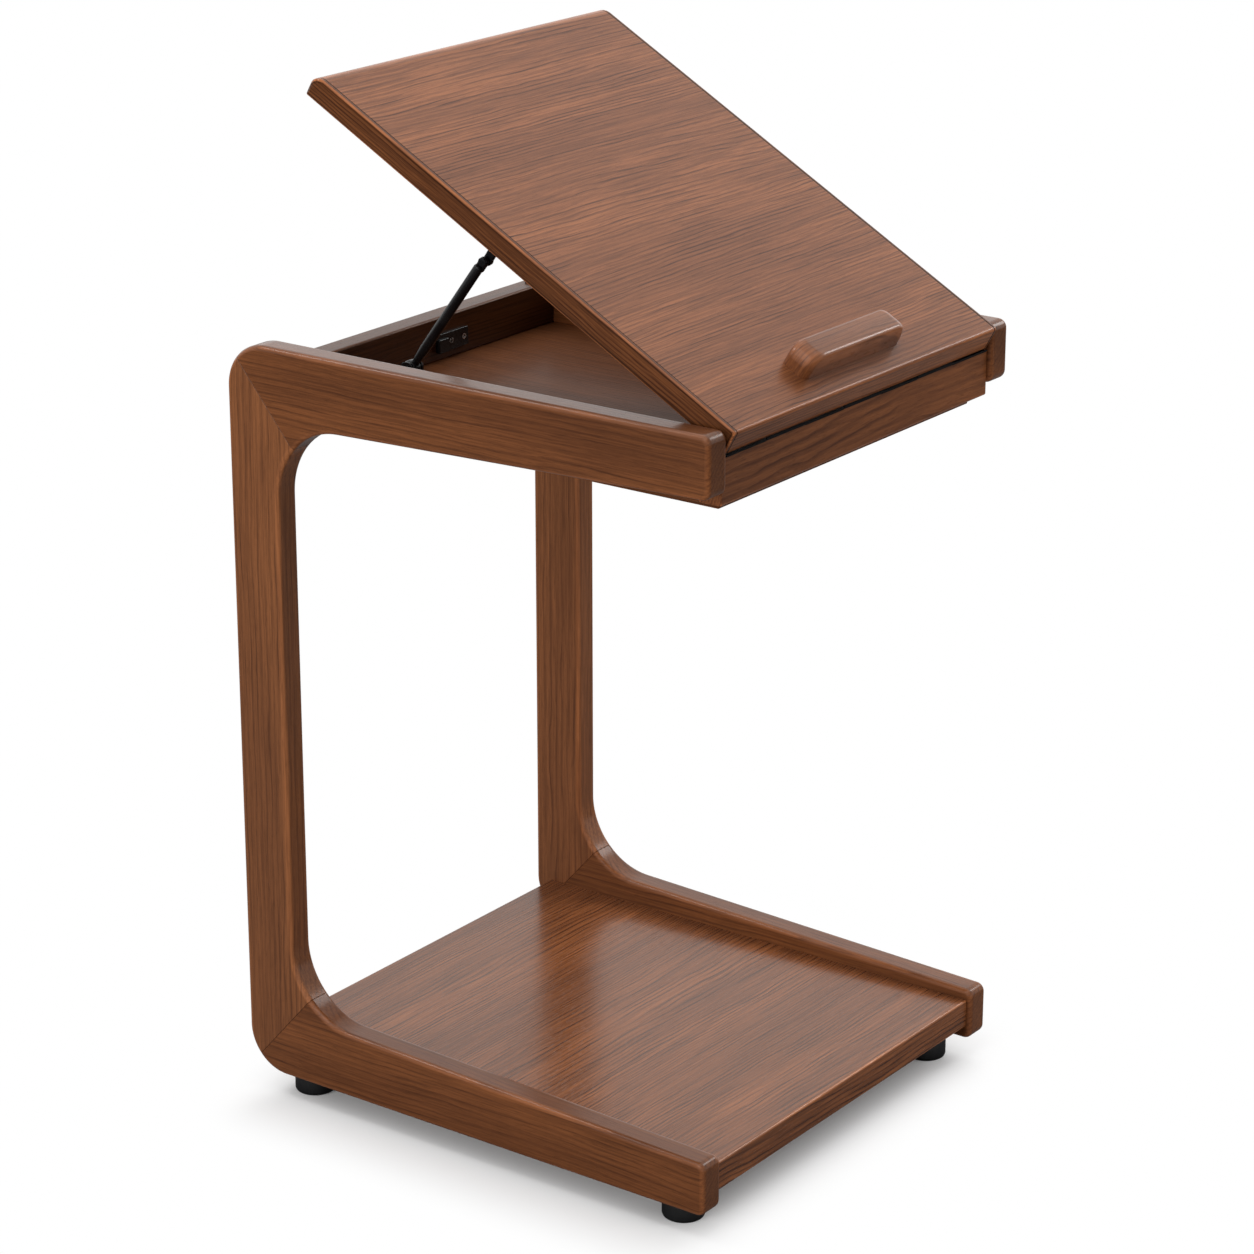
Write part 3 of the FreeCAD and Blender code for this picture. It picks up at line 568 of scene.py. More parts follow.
def lid_lipping(hand, side, material):
    """Lipping strip; near the rear its outer face runs in along a quarter circle seen from above.
    A painted dark line of shade runs round the outer face, just inside its rounded edge, beside the painted
    highlight of that edge."""
    grid, edge = pillow(LID_OUTLINE, "X", PANEL_HALF, LID_HALF, LIPPING_GROOVE, LID_EDGE_R)
    face = rounded_outline(LID_OUTLINE, [LID_EDGE_R + RIM + LINE_W])
    face = np.concatenate([np.full_like(face[..., :1], LID_HALF), face], -1)
    seam = np.concatenate([groove_mark(grid), np.zeros(face.shape[:2])])
    # The seam mark on this ring paints a dark line of shade beside the edge highlight; no joint stands here
    seam[-2] = 1.0
    grid = np.concatenate([grid, face])
    # The lippings' edge marks are raised into a bright painted highlight line
    edge = np.concatenate([edge, np.zeros(face.shape[:2])]) * LIPPING_HIGHLIGHT
    past = np.clip(grid[..., 1] - (LID_REAR - LID_CORNER_R), 0.0, LID_CORNER_R)
    lost = LID_CORNER_R - np.sqrt(LID_CORNER_R ** 2 - past ** 2)
    width = LID_HALF - PANEL_HALF
    x = PANEL_HALF + (grid[..., 0] - PANEL_HALF) * (1.0 - lost / width)
    grid = np.stack([side * x, grid[..., 1], grid[..., 2]], -1)
    skin = shell(tilted(grid), edge * (1.0 - seam), seam)
    piece("walnut", "lid_lipping_" + hand, [skin], material, "lid")


def book_stop(material):
    """Rounded rectangle in plan; towards the top its ends and its sides draw in along ellipses, and
    the ends lean in a little."""
    turn = np.linspace(0.0, np.pi / 2, 2 * ARC_STEPS + 1)
    height = np.concatenate([[0.0, STOP_RING * STOP_H], STOP_H - STOP_END_R + STOP_END_R * np.sin(turn)])
    past = height - STOP_H
    ends = STOP_END_R - np.sqrt(STOP_END_R ** 2 - np.clip(past + STOP_END_R, 0.0, STOP_END_R) ** 2)
    sides = STOP_R - np.sqrt(STOP_R ** 2 - np.clip(past + STOP_R, 0.0, STOP_R) ** 2)
    ends = ends + STOP_SLOPE * height / STOP_H
    half_l, half_w = STOP_L / 2, STOP_W / 2
    signs = ((-1, -1), (1, -1), (1, 1), (-1, 1))
    plan = rounded_outline([(a * half_l, b * half_w, STOP_PLAN_R) for a, b in signs], [0.0])
    grid = np.stack([
        plan[..., 0] * (1.0 - ends / half_l)[:, None],
        plan[..., 1] * (1.0 - sides / half_w)[:, None] + STOP_FRONT + half_w,
        np.broadcast_to(TOP + height[:, None], (len(height), plan.shape[1])),
    ], -1)
    edge = np.concatenate([[0.0, 0.0], np.sin(2 * turn)])[:, None]
    piece("walnut", "book_stop", [shell(tilted(grid), edge)], material, "lid")


# Feet, hinge, folding stay, catch and screws

def foot(node, material):
    """Turned glide: the well up from below, its rim, the rounded outside and the shoulder."""
    low, high = node_box(node)
    x, y = (low[:2] + high[:2]) / 2
    well = [(FOOT_WELL_R, FOOT_WELL_H), (FOOT_WELL_R, FOOT_WELL_EDGE), (FOOT_WELL_R + FOOT_WELL_EDGE, 0.0)]
    edge = [(FOOT_R - inset, height) for inset, height in FOOT_EDGE]
    shoulder = [(FOOT_R - inset, FOOT_H - drop) for inset, drop in FOOT_SHOULDER]
    skin = shell(lathe(well + edge + shoulder, (x, y, 0.0), (0, 0, 1)))
    piece("rubber", node, [skin], material)


def bar_plate(p, q, radius, x0, x1, ease):
    """Flat bar with round ends about two points of the YZ plane: a pillow from x0 to x1."""
    run = unit(np.subtract(q, p))
    side = np.array([-run[1], run[0]]) * radius
    back, fore = np.array(p) - run * radius, np.array(q) + run * radius
    full = radius - TINY
    spots = (back - side, fore - side, fore + side, back + side)
    return pillow([tuple(spot) + (full,) for spot in spots], "X", x0, x1, ease, ease)


def rivet_head(x0, direction, spot):
    """Low round head on a face at x0, standing out along X in the given direction."""
    profile = [(HEAD_R - inset, share * HEAD_T) for inset, share in HEAD_EDGE]
    return lathe(profile, (x0,) + tuple(spot), (direction, 0, 0))


def hinge_leaf(first, leaf_z, turned):
    """Thin plate with every second knuckle of the hinge, each joined to it by a short tongue."""
    low = np.array([-HINGE_L / 2, LID_FRONT, leaf_z])
    high = low + np.array([HINGE_L, LEAF_W, LEAF_T])
    skins = [flat_plate("Z", low, high, *LEAF_RADII)]
    pitch = HINGE_L / KNUCKLES
    length = pitch - KNUCKLE_GAP
    end_r = KNUCKLE_R - KNUCKLE_EASE
    barrel = [(end_r, 0.0), (KNUCKLE_R, KNUCKLE_EASE), (KNUCKLE_R, length - KNUCKLE_EASE), (end_r, length)]
    for place in range(first, KNUCKLES, 2):
        x = low[0] + place * pitch + KNUCKLE_GAP / 2
        start = np.array([x, HINGE_Y, leaf_z])
        end = np.array([x + length, LID_FRONT + TONGUE_LAP, leaf_z + LEAF_T])
        skins.append(flat_plate("Z", start, end, *TONGUE_RADII))
        skins.append((lathe(barrel, (x, HINGE_Y, HINGE_Z), (1, 0, 0)), 0.0))
    return [shell(tilted(grid) if turned else grid, edge) for grid, edge in skins]


def hinge_leaves(material):
    """The two leaves of the continuous hinge: one on the apron, one under the lid."""
    piece("steel", "hinge_apron_leaf", hinge_leaf(0, TRAY_TOP, False), material)
    piece("steel", "hinge_lid_leaf", hinge_leaf(1, LID_UNDER - LEAF_T, True), material, "lid")


def stay_arm(material):
    """Round rod with a turned eye at the tray and a flat tab with a rivet at the elbow."""
    way = np.subtract(ELBOW, PIVOT_B)
    run = unit(way)
    length = np.linalg.norm(way)
    eye = [(EYE_R - inset, height - EYE_W / 2) for inset, height in EYE_EDGE]
    eye += [(radius, -height) for radius, height in eye[::-1]]
    rod = [(NECK_R, ROD_START)]
    rod += [(NECK_R + swell, EYE_R + height) for swell, height in NECK_SWELL]
    rod += [(ROD_R, EYE_R + NECK_L)]
    rod += [(ROD_R - inset, length - TAB_L + height) for inset, height in ROD_TIP]
    base = (STAY_X,) + PIVOT_B
    tab_start = np.array(PIVOT_B) + run * (length - TAB_L)
    tab, tab_edge = bar_plate(tab_start, ELBOW, TAB_R, STAY_X, STAY_X + TAB_T, TAB_EASE)
    skins = [
        shell(lathe(eye, base, (1, 0, 0))),
        shell(lathe(rod, base, (0, run[0], run[1]))),
        shell(tab, tab_edge),
        shell(rivet_head(STAY_X, -1, ELBOW)),
    ]
    piece("steel", "stay_arm", skins, material, "stay_arm")


def stay_link(material):
    """Flat link beside the rod with a rivet head on its far face at the elbow."""
    bar, edge = bar_plate(ELBOW, PIVOT_L, TAB_R, LINK_X, LINK_X + TAB_T, TAB_EASE)
    skins = [shell(bar, edge), shell(rivet_head(LINK_X + TAB_T, 1, ELBOW))]
    piece("steel", "stay_link", skins, material, "stay_link")


def ear_plate(pivot, foot_z, x0, x1):
    """Upright ear: a foot that narrows to a round end about the pivot, as a pillow along X."""
    way = 1.0 if pivot[1] > foot_z else -1.0
    tip = pivot[1] + way * EAR_R
    corners = [
        (pivot[0] - EAR_FOOT, foot_z, EAR_FOOT_R), (pivot[0] + EAR_FOOT, foot_z, EAR_FOOT_R),
        (pivot[0] + EAR_R, tip, EAR_TIP_R), (pivot[0] - EAR_R, tip, EAR_TIP_R),
    ]
    return pillow(corners[::int(way)], "X", x0, x1, PLATE_EASE, PLATE_EASE)


def floor_bracket(material):
    """Base plate on the tray floor with two upright ears about the eye."""
    low, high = node_box("stay_floor_bracket")
    base = flat_plate("Z", low, np.array([high[0], high[1], low[2] + PLATE_T]), PLATE_R, PLATE_EASE)
    foot_z = low[2] + PLATE_T / 2
    ears = [ear_plate(PIVOT_B, foot_z, x0, x0 + PLATE_T) for x0 in (low[0], high[0] - PLATE_T)]
    skins = [shell(*part) for part in [base] + ears]
    piece("steel", "stay_floor_bracket", skins, material)


def lid_bracket(material):
    """Angle plate under the lid: the foot against the lid and one ear beside the link, turned open."""
    y = PIVOT_L_SHUT[0]
    low = np.array([LID_PLATE_X, y - LID_PLATE_L / 2, LID_UNDER - PLATE_T])
    high = np.array([LID_PLATE_X + LID_PLATE_W, y + LID_PLATE_L / 2, LID_UNDER])
    foot, foot_edge = flat_plate("Z", low, high, PLATE_R, PLATE_EASE)
    ear, ear_edge = ear_plate(PIVOT_L_SHUT, LID_UNDER - PLATE_T / 2, LID_PLATE_X, LID_PLATE_X + PLATE_T)
    skins = [shell(tilted(foot), foot_edge), shell(tilted(ear), ear_edge)]
    piece("steel", "stay_lid_bracket", skins, material, "lid")


def catch(material):
    """Catch plate with a raised magnet block at its left end, both with eased edges."""
    low, high = node_box("catch")
    plate_low = np.array([low[0], high[1] - CATCH_T, low[2]])
    plate = flat_plate("Y", plate_low, high, *CATCH_RADII)
    block_high = np.array([low[0] + MAGNET_L, high[1] - MAGNET_BED, low[2] + MAGNET_H])
    block = flat_plate("Y", low, block_high, *MAGNET_RADII)
    piece("steel", "catch", [shell(*plate), shell(*block)], material)


def cross_bar(p, q):
    """Smooth bar along p, in shares of the head's radius: one inside, fading at its ends and sides."""
    along = np.clip((CROSS_REACH - np.abs(p)) / CROSS_FADE, 0.0, 1.0)
    return along * np.clip(CROSS_WIDTH - np.abs(q) / CROSS_SIDE, 0.0, 1.0)


def screw(spot, drive, kind):
    """Countersunk screw driven from a spot: rings over the head's face, which sinks in along a cross,
    then its cone, shank and point. The sink is the larger of two smooth bars, a quarter turn apart."""
    shank, radius, cone, length = kind
    drive = unit(drive)
    across, beside = cross_axes(drive)
    around = np.linspace(0.0, 2 * np.pi, SCREW_STEPS, endpoint=False)
    face = np.linspace(*FACE_SPAN, FACE_RINGS) * radius
    reach = np.concatenate([face, [radius, shank, shank, TINY]])[:, None]
    back = np.concatenate([0.0 * face, [FACE_EDGE * radius, cone, length - 2 * shank, length]])[:, None]
    u, v = reach * np.cos(around), reach * np.sin(around)
    sink = np.maximum(cross_bar(u / radius, v / radius), cross_bar(v / radius, u / radius))
    depth = np.where(back > 0.0, back, sink * CROSS_DEPTH * radius)
    parts = (u, across), (v, beside), (depth, drive)
    return np.asarray(spot, float) + sum(size[..., None] * way for size, way in parts)


def all_screws(material):
    """Screws of catch, feet, hinge leaves and stay brackets, at their places in the solids."""
    axis = np.array([0.0, HINGE_Y, HINGE_Z])
    down, up, rearward = (0, 0, -1), (0, 0, 1), (0, 1, 0)
    lid_up = tilted(axis + up) - axis
    feet = [(x, y, FOOT_WELL_H) for x in (-FOOT_X, FOOT_X) for y in FOOT_YS]
    apron = [(x, LEAF_SCREW_Y, TRAY_TOP + LEAF_T) for x in LEAF_SCREW_XS]
    leaf = [(x, LEAF_SCREW_Y, LID_UNDER - LEAF_T) for x in LEAF_SCREW_XS]
    floor_z, lid_z = TRAY_BOTTOM + PLATE_T, LID_UNDER - PLATE_T
    floor = [(STAY_X, PIVOT_B[0] + way * FLOOR_SCREW_SPREAD, floor_z) for way in (-1, 1)]
    x = LID_PLATE_X + LID_SCREW_ACROSS
    bracket = [(x, PIVOT_L_SHUT[0] + way * LID_SCREW_SPREAD, lid_z) for way in (-1, 1)]
    sets = (
        ("catch_screws", CATCH_SCREWS, rearward, SMALL_SCREW, "table"),
        ("foot_screws", feet, up, FOOT_SCREW, "table"),
        ("hinge_apron_screws", apron, down, SMALL_SCREW, "table"),
        ("hinge_lid_screws", tilted(np.array(leaf)), lid_up, SMALL_SCREW, "lid"),
        ("stay_floor_screws", floor, down, SHORT_SCREW, "table"),
        ("stay_lid_screws", tilted(np.array(bracket)), lid_up, SMALL_SCREW, "lid"),
    )
    for node, spots, drive, kind, body in sets:
        skins = [shell(screw(spot, drive, kind)) for spot in spots]
        piece("bright", node, skins, material, body)


# Materials

def feed(tree, target, values):
    """Gives a node its inputs by name or place: an output is linked, any other value is set."""
    for key, value in dict(values).items():
        if isinstance(value, bpy.types.NodeSocket):
            tree.links.new(value, target.inputs[key])
        else:
            target.inputs[key].default_value = value


def node(tree, kind, values=(), **settings):
    """Adds a shader node of a kind with its settings and its inputs."""
    made = tree.nodes.new("ShaderNode" + kind)
    for name, setting in settings.items():
        setattr(made, name, setting)
    feed(tree, made, values)
    return made


def math_node(operation, a, b=0.0, c=0.0):
    """Result of a sum on up to three numbers, in the tree of the first, which is an output."""
    return node(a.id_data, "Math", {0: a, 1: b, 2: c}, operation=operation).outputs[0]


def scaled(value, factor, base):
    """Value times a factor, plus a base."""
    return math_node("MULTIPLY_ADD", value, factor, base)


def vector_node(operation, a, b=ZERO):
    """Result of a sum on one or two vectors, in the tree of the first, which is an output."""
    return node(a.id_data, "VectorMath", {0: a, 1: b}, operation=operation).outputs[0]


def noise(vector, scale, detail=2.0, roughness=0.5):
    """Noise of a stretched vector; its scale is in cycles per metre along x, and along y and z."""
    along, across = scale
    stretched = vector_node("MULTIPLY", vector, (along, across, across))
    values = {"Vector": stretched, "Scale": 1.0, "Detail": detail, "Roughness": roughness}
    return node(vector.id_data, "TexNoise", values).outputs["Fac"]


def ramp(value, low, high, to_low=0.0, to_high=1.0):
    """Smooth step of a value between two limits."""
    values = {"Value": value, "From Min": low, "From Max": high, "To Min": to_low, "To Max": to_high}
    return node(value.id_data, "MapRange", values, interpolation_type="SMOOTHSTEP").outputs["Result"]


def blend_colour(share, first, second):
    """First colour with a share of the second mixed in."""
    values = {0: share, 6: first, 7: second}
    return node(share.id_data, "Mix", values, data_type="RGBA", blend_type="MIX").outputs[2]


def new_group(name, inputs, outputs):
    """Empty node group with named sockets; inputs map to a socket kind and a starting value."""
    tree = bpy.data.node_groups.new(name, "ShaderNodeTree")
    for label, (kind, start) in inputs.items():
        socket = tree.interface.new_socket(label, in_out="INPUT", socket_type="NodeSocket" + kind)
        if start is not None:
            socket.default_value = start
    for label, kind in outputs.items():
        tree.interface.new_socket(label, in_out="OUTPUT", socket_type="NodeSocket" + kind)
    return tree, tree.nodes.new("NodeGroupInput").outputs, tree.nodes.new("NodeGroupOutput").inputs


# Walnut figure: noises in cycles per metre along and across the grain, with the limits of their ramps
SLOW_SWAY = (4.0, 14.0)
QUICK_SWAY = (17.0, 60.0)
QUICK_SHARE = 0.35
NOISE_MEAN = 0.5
GROWTH_FIELD = (0.5, 7.0)
LINE_RISE = (0.45, 0.9)
LINE_FALL = (0.9, 1.0, 1.0, 0.0)
PATCHES = (6.0, 150.0)
PATCH_RAMP = (0.36, 0.62, 0.3, 1.0)
STREAKS = (12.0, 600.0)
STREAK_ROUGHNESS = 0.62
STREAK_RAMP = (0.36, 0.66)
FIBRES = (40.0, 1300.0)
FIBRE_LEVEL = (0.5, 0.76)
BANDS = (2.2, 24.0)
BAND_RAMP = (0.36, 0.64)
PORES = (110.0, 2400.0)
PORE_RAMP = (0.58, 0.68)
PORE_LEVEL = -0.2
PORE_GLOSS = 0.1
# Noise and ramp of the strength of the painted highlight along rounded edges
HIGHLIGHT_CLOUDS = (30.0, 60.0)
HIGHLIGHT_RAMP = (0.3, 0.7, 0.45, 0.65)
SEAM_LEVEL = -0.7
CLOUDS = (20.0, 45.0)
CLOUD_GLOSS = (0.1, 0.3)
LINE_HEIGHT = -0.4


def grain_paths(tree, given):
    """Place in the wood, as it is and swayed across the grain by two noises, and the sum of the two
    swayed coordinates across the grain, by which growth lines are counted."""
    place = node(tree, "SeparateXYZ", {0: given["Vector"]}).outputs
    inward = math_node("MULTIPLY", place[2], given["Depth"])
    raw = node(tree, "CombineXYZ", {0: place[0], 1: place[1], 2: inward}).outputs[0]
    slow = math_node("SUBTRACT", noise(raw, SLOW_SWAY), NOISE_MEAN)
    quick = math_node("SUBTRACT", noise(raw, QUICK_SWAY), NOISE_MEAN)
    sway = scaled(quick, QUICK_SHARE, slow)
    across = scaled(sway, given["Wave"], place[1])
    depth = scaled(sway, given["Wave"], inward)
    wavy = node(tree, "CombineXYZ", {0: place[0], 1: across, 2: depth}).outputs[0]
    return raw, wavy, math_node("ADD", across, depth)


def growth_lines(given, raw, wavy, across):
    """Lines one ring width apart that rise slowly and fall fast, shifted by a broad field, in patches."""
    field = noise(raw, GROWTH_FIELD, 1.0)
    count = math_node("DIVIDE", across, given["Ring Width"])
    phase = math_node("FRACT", scaled(field, given["Figure"], count))
    tooth = math_node("MULTIPLY", ramp(phase, *LINE_RISE), ramp(phase, *LINE_FALL))
    return math_node("MULTIPLY", tooth, ramp(noise(wavy, PATCHES), *PATCH_RAMP))


def wood_colour(tree, given, wavy, line):
    """Light wood with tinted bands, darkened along growth lines and streaks."""
    streak = ramp(noise(wavy, STREAKS, 4.0, STREAK_ROUGHNESS), *STREAK_RAMP)
    band = ramp(noise(wavy, BANDS), *BAND_RAMP)
    terms = {0: line, 1: given["Line"], 2: math_node("MULTIPLY", streak, given["Streak"])}
    dark = node(tree, "Math", terms, operation="MULTIPLY_ADD", use_clamp=True).outputs[0]
    return blend_colour(dark, blend_colour(band, given["Light"], given["Tint"]), given["Dark"])


def wood_level(given, raw, fibre, pore):
    """Brightness of the wood: fibres and pores, a painted highlight on rounded edges that a noise varies,
    and darker in seams; the seam mark stands at joints, and on the lippings it also paints a dark line of
    shade.
    """
    level = scaled(fibre, *FIBRE_LEVEL)
    level = scaled(pore, PORE_LEVEL, level)
    # Painted highlight: the edge mark lightens rounded edges by a share that a noise varies
    edge_highlight = ramp(noise(raw, HIGHLIGHT_CLOUDS), *HIGHLIGHT_RAMP)
    level = scaled(given["Edge"], edge_highlight, level)
    seam = scaled(given["Seam"], SEAM_LEVEL, 1.0)
    return math_node("MULTIPLY", level, seam)


def walnut_figure():
    """Walnut with its grain along x: wavy growth lines, streaks, broad bands, fibres and pores."""
    tree, given, out = new_group("walnut_figure", {
        "Vector": ("Vector", None), "Ring Width": ("Float", 0.0038), "Wave": ("Float", 0.006),
        "Figure": ("Float", 26.0), "Streak": ("Float", 0.42), "Line": ("Float", 0.52),
        "Light": ("Color", None), "Tint": ("Color", None), "Dark": ("Color", None),
        "Edge": ("Float", 0.0), "Seam": ("Float", 0.0), "Dull": ("Float", 0.0), "Depth": ("Float", 1.0),
    }, {"Color": "Color", "Roughness": "Float", "Height": "Float"})
    raw, wavy, across = grain_paths(tree, given)
    line = growth_lines(given, raw, wavy, across)
    fibre = noise(wavy, FIBRES)
    pore = ramp(noise(wavy, PORES, 1.0), *PORE_RAMP)
    shades = {0: wood_colour(tree, given, wavy, line), "Scale": wood_level(given, raw, fibre, pore)}
    shaded = node(tree, "VectorMath", shades, operation="SCALE")
    tree.links.new(shaded.outputs[0], out["Color"])
    rough = scaled(noise(raw, CLOUDS), *CLOUD_GLOSS)
    rough = math_node("ADD", rough, given["Dull"])
    tree.links.new(scaled(pore, PORE_GLOSS, rough), out["Roughness"])
    height = scaled(pore, -1.0, fibre)
    tree.links.new(scaled(line, LINE_HEIGHT, height), out["Height"])
    return tree


# Light, tint and dark colour of each wood, and the lacquer
WALNUT = ((0.275, 0.094, 0.032), (0.200, 0.068, 0.024), (0.062, 0.020, 0.009))
LEG_WALNUT = ((0.275, 0.101, 0.037), (0.200, 0.073, 0.028), (0.062, 0.0215, 0.0105))
BEECH = ((0.46, 0.28, 0.15), (0.42, 0.25, 0.13), (0.30, 0.16, 0.08))
WOOD_IOR = 1.45
WOOD_BUMP = {"Strength": 0.12, "Distance": 0.0003}
COAT_WEIGHT = 0.8
COAT_ROUGHNESS = 0.2
COAT_IOR = 1.3
SHEEN = 0.12
SHEEN_TINT = (1.0, 0.72, 0.56, 1.0)

# Plain finishes: their two colours, and the noise that clouds colour and gloss
BLACK = (0.004, 0.004, 0.0045, 1.0)
SOOT = (0.008, 0.008, 0.0085, 1.0)
ZINC = (0.62, 0.62, 0.61, 1.0)
BRIGHT_ZINC = (0.78, 0.78, 0.76, 1.0)
SPECKLE_CLOUDS = (60.0, 60.0)
SPECKLE_RAMP = (0.3, 0.7)
SPECKLE_GLOSS = 0.12
SPECKLE_BUMP = 0.2


def shader_start(name):
    """New material with an empty tree but for the shader and its output."""
    material = bpy.data.materials.new(name)
    material.use_nodes = True
    tree = material.node_tree
    return material, tree, tree.nodes["Principled BSDF"]


def toned(share, colours=WALNUT):
    """Light, tint and dark colour of a wood, all stained to a share of their brightness."""
    stained = [tuple(share * part for part in colour) + (1.0,) for colour in colours]
    return dict(zip(("Light", "Tint", "Dark"), stained))


def walnut(name, figure, turn, shift, tone=1.0, coat=COAT_WEIGHT, sheen=SHEEN, **values):
    """Lacquered walnut with its grain turned from x to the piece's own direction."""
    material, tree, shader = shader_start(name)
    spot = node(tree, "TexCoord").outputs["Object"]
    turned = node(tree, "Mapping", {"Vector": spot, "Location": shift, "Rotation": turn})
    inputs = {"Vector": turned.outputs[0], **toned(tone), **values}
    # Edge paints a highlight along rounded edges; Seam darkens joints, and paints one dark line of shade on
    # each lipping
    for mark in ("Edge", "Seam"):
        inputs[mark] = node(tree, "Attribute", attribute_name=mark.lower()).outputs["Fac"]
    wood = node(tree, "Group", inputs, node_tree=figure).outputs
    bump = node(tree, "Bump", {**WOOD_BUMP, "Height": wood["Height"]})
    feed(tree, shader, {
        "Base Color": wood["Color"], "Roughness": wood["Roughness"], "Normal": bump.outputs[0],
        "IOR": WOOD_IOR, "Specular IOR Level": sheen, "Specular Tint": SHEEN_TINT,
        "Coat Weight": coat, "Coat Roughness": COAT_ROUGHNESS, "Coat IOR": COAT_IOR,
    })
    return material


def speckled(name, first, second, scale, rough, bump_depth, metallic=0.0, shine=0.5):
    """Plain finish whose colour, gloss and surface vary a little with noise: the bump follows speckles
    of a scale per metre, colour and roughness follow clouds."""
    material, tree, shader = shader_start(name)
    spot = node(tree, "TexCoord").outputs["Object"]
    grain = noise(spot, (scale, scale), 3.0)
    cloud = noise(spot, SPECKLE_CLOUDS)
    bump = node(tree, "Bump", {"Strength": SPECKLE_BUMP, "Distance": bump_depth, "Height": grain})
    feed(tree, shader, {
        "Base Color": blend_colour(ramp(cloud, *SPECKLE_RAMP), first, second),
        "Roughness": scaled(cloud, SPECKLE_GLOSS, rough),
        "Normal": bump.outputs[0], "Metallic": metallic, "Specular IOR Level": shine,
    })
    return material


def wood_materials():
    """Finishes of the wooden pieces: each has its grain along the piece, its own stain and its gloss. Some
    stains also hold painted light: the right leg is lighter than the left where the tray shades it, the top
    arms darker than the bottom ones where more light falls, and the tray's rail and floor darker as painted
    shade inside the tray.
    """
    quarter = math.pi / 2
    tilt = -math.radians(LID_OPEN)
    upright, lengthwise = (0.0, quarter, 0.0), (0.0, 0.0, -quarter)
    on_lid, along_lid = (tilt, 0.0, 0.0), (tilt, 0.0, -quarter)
    plain = {"coat": 0.85, "Line": 0.38, "Streak": 0.38, "Ring Width": 0.0055, "Wave": 0.007, "Figure": 8.0}
    bold = {"Line": 0.7, "Streak": 0.6}
    rows = {
        # Leg and arm tones partly make up for light: the right leg lighter as painted light in the tray's
        # shade, the top arms darker as painted shade
        "upright_left": (upright, ZERO, {**plain, **toned(0.85, LEG_WALNUT)}),
        "upright_right": (upright, ZERO, {**plain, **toned(1.02, LEG_WALNUT)}),
        "top_arm": (lengthwise, (0.4, 0.2, 0.1), {**plain, "tone": 0.65}),
        "bottom_arm": (lengthwise, ZERO, {**plain, "tone": 0.7}),
        "shelf": (ZERO, ZERO, {**bold, "tone": 1.04, "coat": 0.32, "sheen": 0.5, "Depth": 0.6,
                               "Dull": -0.14}),
        "crosswise": (ZERO, ZERO, {"tone": 1.05, "Depth": 0.5}),
        # The rail and the tray floor are darker: painted shade inside the tray
        "tray": (ZERO, ZERO, {"tone": 0.34, "coat": 0.42}),
        "tray_floor": (lengthwise, (0.3, 0.1, 0.0), {"tone": 0.52, "coat": 0.25, "Dull": 0.25}),
        "lid": (on_lid, (0.7, 0.2, 0.1), {"tone": 1.13, "coat": 0.6, "Line": 0.6, "Streak": 0.5}),
        "lipping": (along_lid, (0.2, 0.5, 0.3), {**bold, "tone": 0.55, "coat": 0.6, "Ring Width": 0.003}),
        "stop": (on_lid, (0.9, 0.6, 0.4), {"tone": 1.0, "coat": 1.0, "Depth": 0.12}),
    }
    figure = walnut_figure()
    made = {"tenon": walnut("tenon_beech", figure, ZERO, ZERO, **toned(1.0, BEECH))}
    for name, (turn, shift, values) in rows.items():
        made[name] = walnut("walnut_" + name, figure, turn, shift, **values)
    return made


def metal_materials():
    """Finishes of steel and rubber: black coating, dull hinge, black rubber and bright screws.
    After the colours come speckles per metre, roughness and the bump's depth in metres."""
    return {
        "steel": speckled("black_coated_steel", BLACK, SOOT, 900.0, 0.2, 0.0001, shine=0.3),
        "hinge": speckled("black_hinge_steel", BLACK, SOOT, 900.0, 0.6, 0.0001, shine=0.05),
        "rubber": speckled("black_rubber", BLACK, SOOT, 1400.0, 0.38, 0.0002),
        "zinc": speckled("bright_screw_steel", ZINC, BRIGHT_ZINC, 1600.0, 0.42, 0.0001, metallic=1.0),
    }


def finish_solids(wood, metal):
    """Finish of the solids that keep their own meshes."""
    by_slot = {"walnut": wood["top_arm"], "tenon_wood": wood["tenon"], "black_steel": metal["steel"],
               "screw_steel": metal["zinc"], "black_rubber": metal["rubber"]}
    for part in frame["record"]["subparts"]:
        solid = frame["nodes"][part["node"]]
        finish = metal["hinge"] if part["node"].startswith("hinge_") else by_slot[part["material_slot"]]
        solid.data.materials.clear()
        solid.data.materials.append(finish)


# Camera fitted to the photo: place in metres, focal length and picture side in the photo's pixels
CAMERA_PLACE = (-2.2498, -1.6501, 1.3564)
CAMERA_AZIMUTH = math.radians(-53.84)
CAMERA_ELEVATION = math.radians(19.28)
FOCAL = 3796.0
IMAGE_SIDE = 1254.0
SENSOR = 36.0
FAR_CLIP = 50.0


def pose(right, back, place):
    """Matrix of a camera or lamp at a place, from the directions of its right side and its back."""
    up = np.cross(back, right)
    rows = [[right[i], up[i], back[i], place[i]] for i in range(3)]
    return Matrix(rows + [[0.0, 0.0, 0.0, 1.0]])


def set_camera():
    """Camera whose axes follow from its azimuth and elevation, with no shift."""
    ca, sa = math.cos(CAMERA_AZIMUTH), math.sin(CAMERA_AZIMUTH)
    ce, se = math.cos(CAMERA_ELEVATION), math.sin(CAMERA_ELEVATION)
    right = np.array([ca, sa, 0.0])
    back = np.array([sa * ce, -ca * ce, se])
    data = bpy.data.cameras.new("photo_camera")
    data.sensor_width = SENSOR
    data.lens = SENSOR * FOCAL / IMAGE_SIDE
    data.clip_end = FAR_CLIP
    camera = new_object("photo_camera", data)
    camera.matrix_world = pose(right, back, CAMERA_PLACE)
    bpy.context.scene.camera = camera


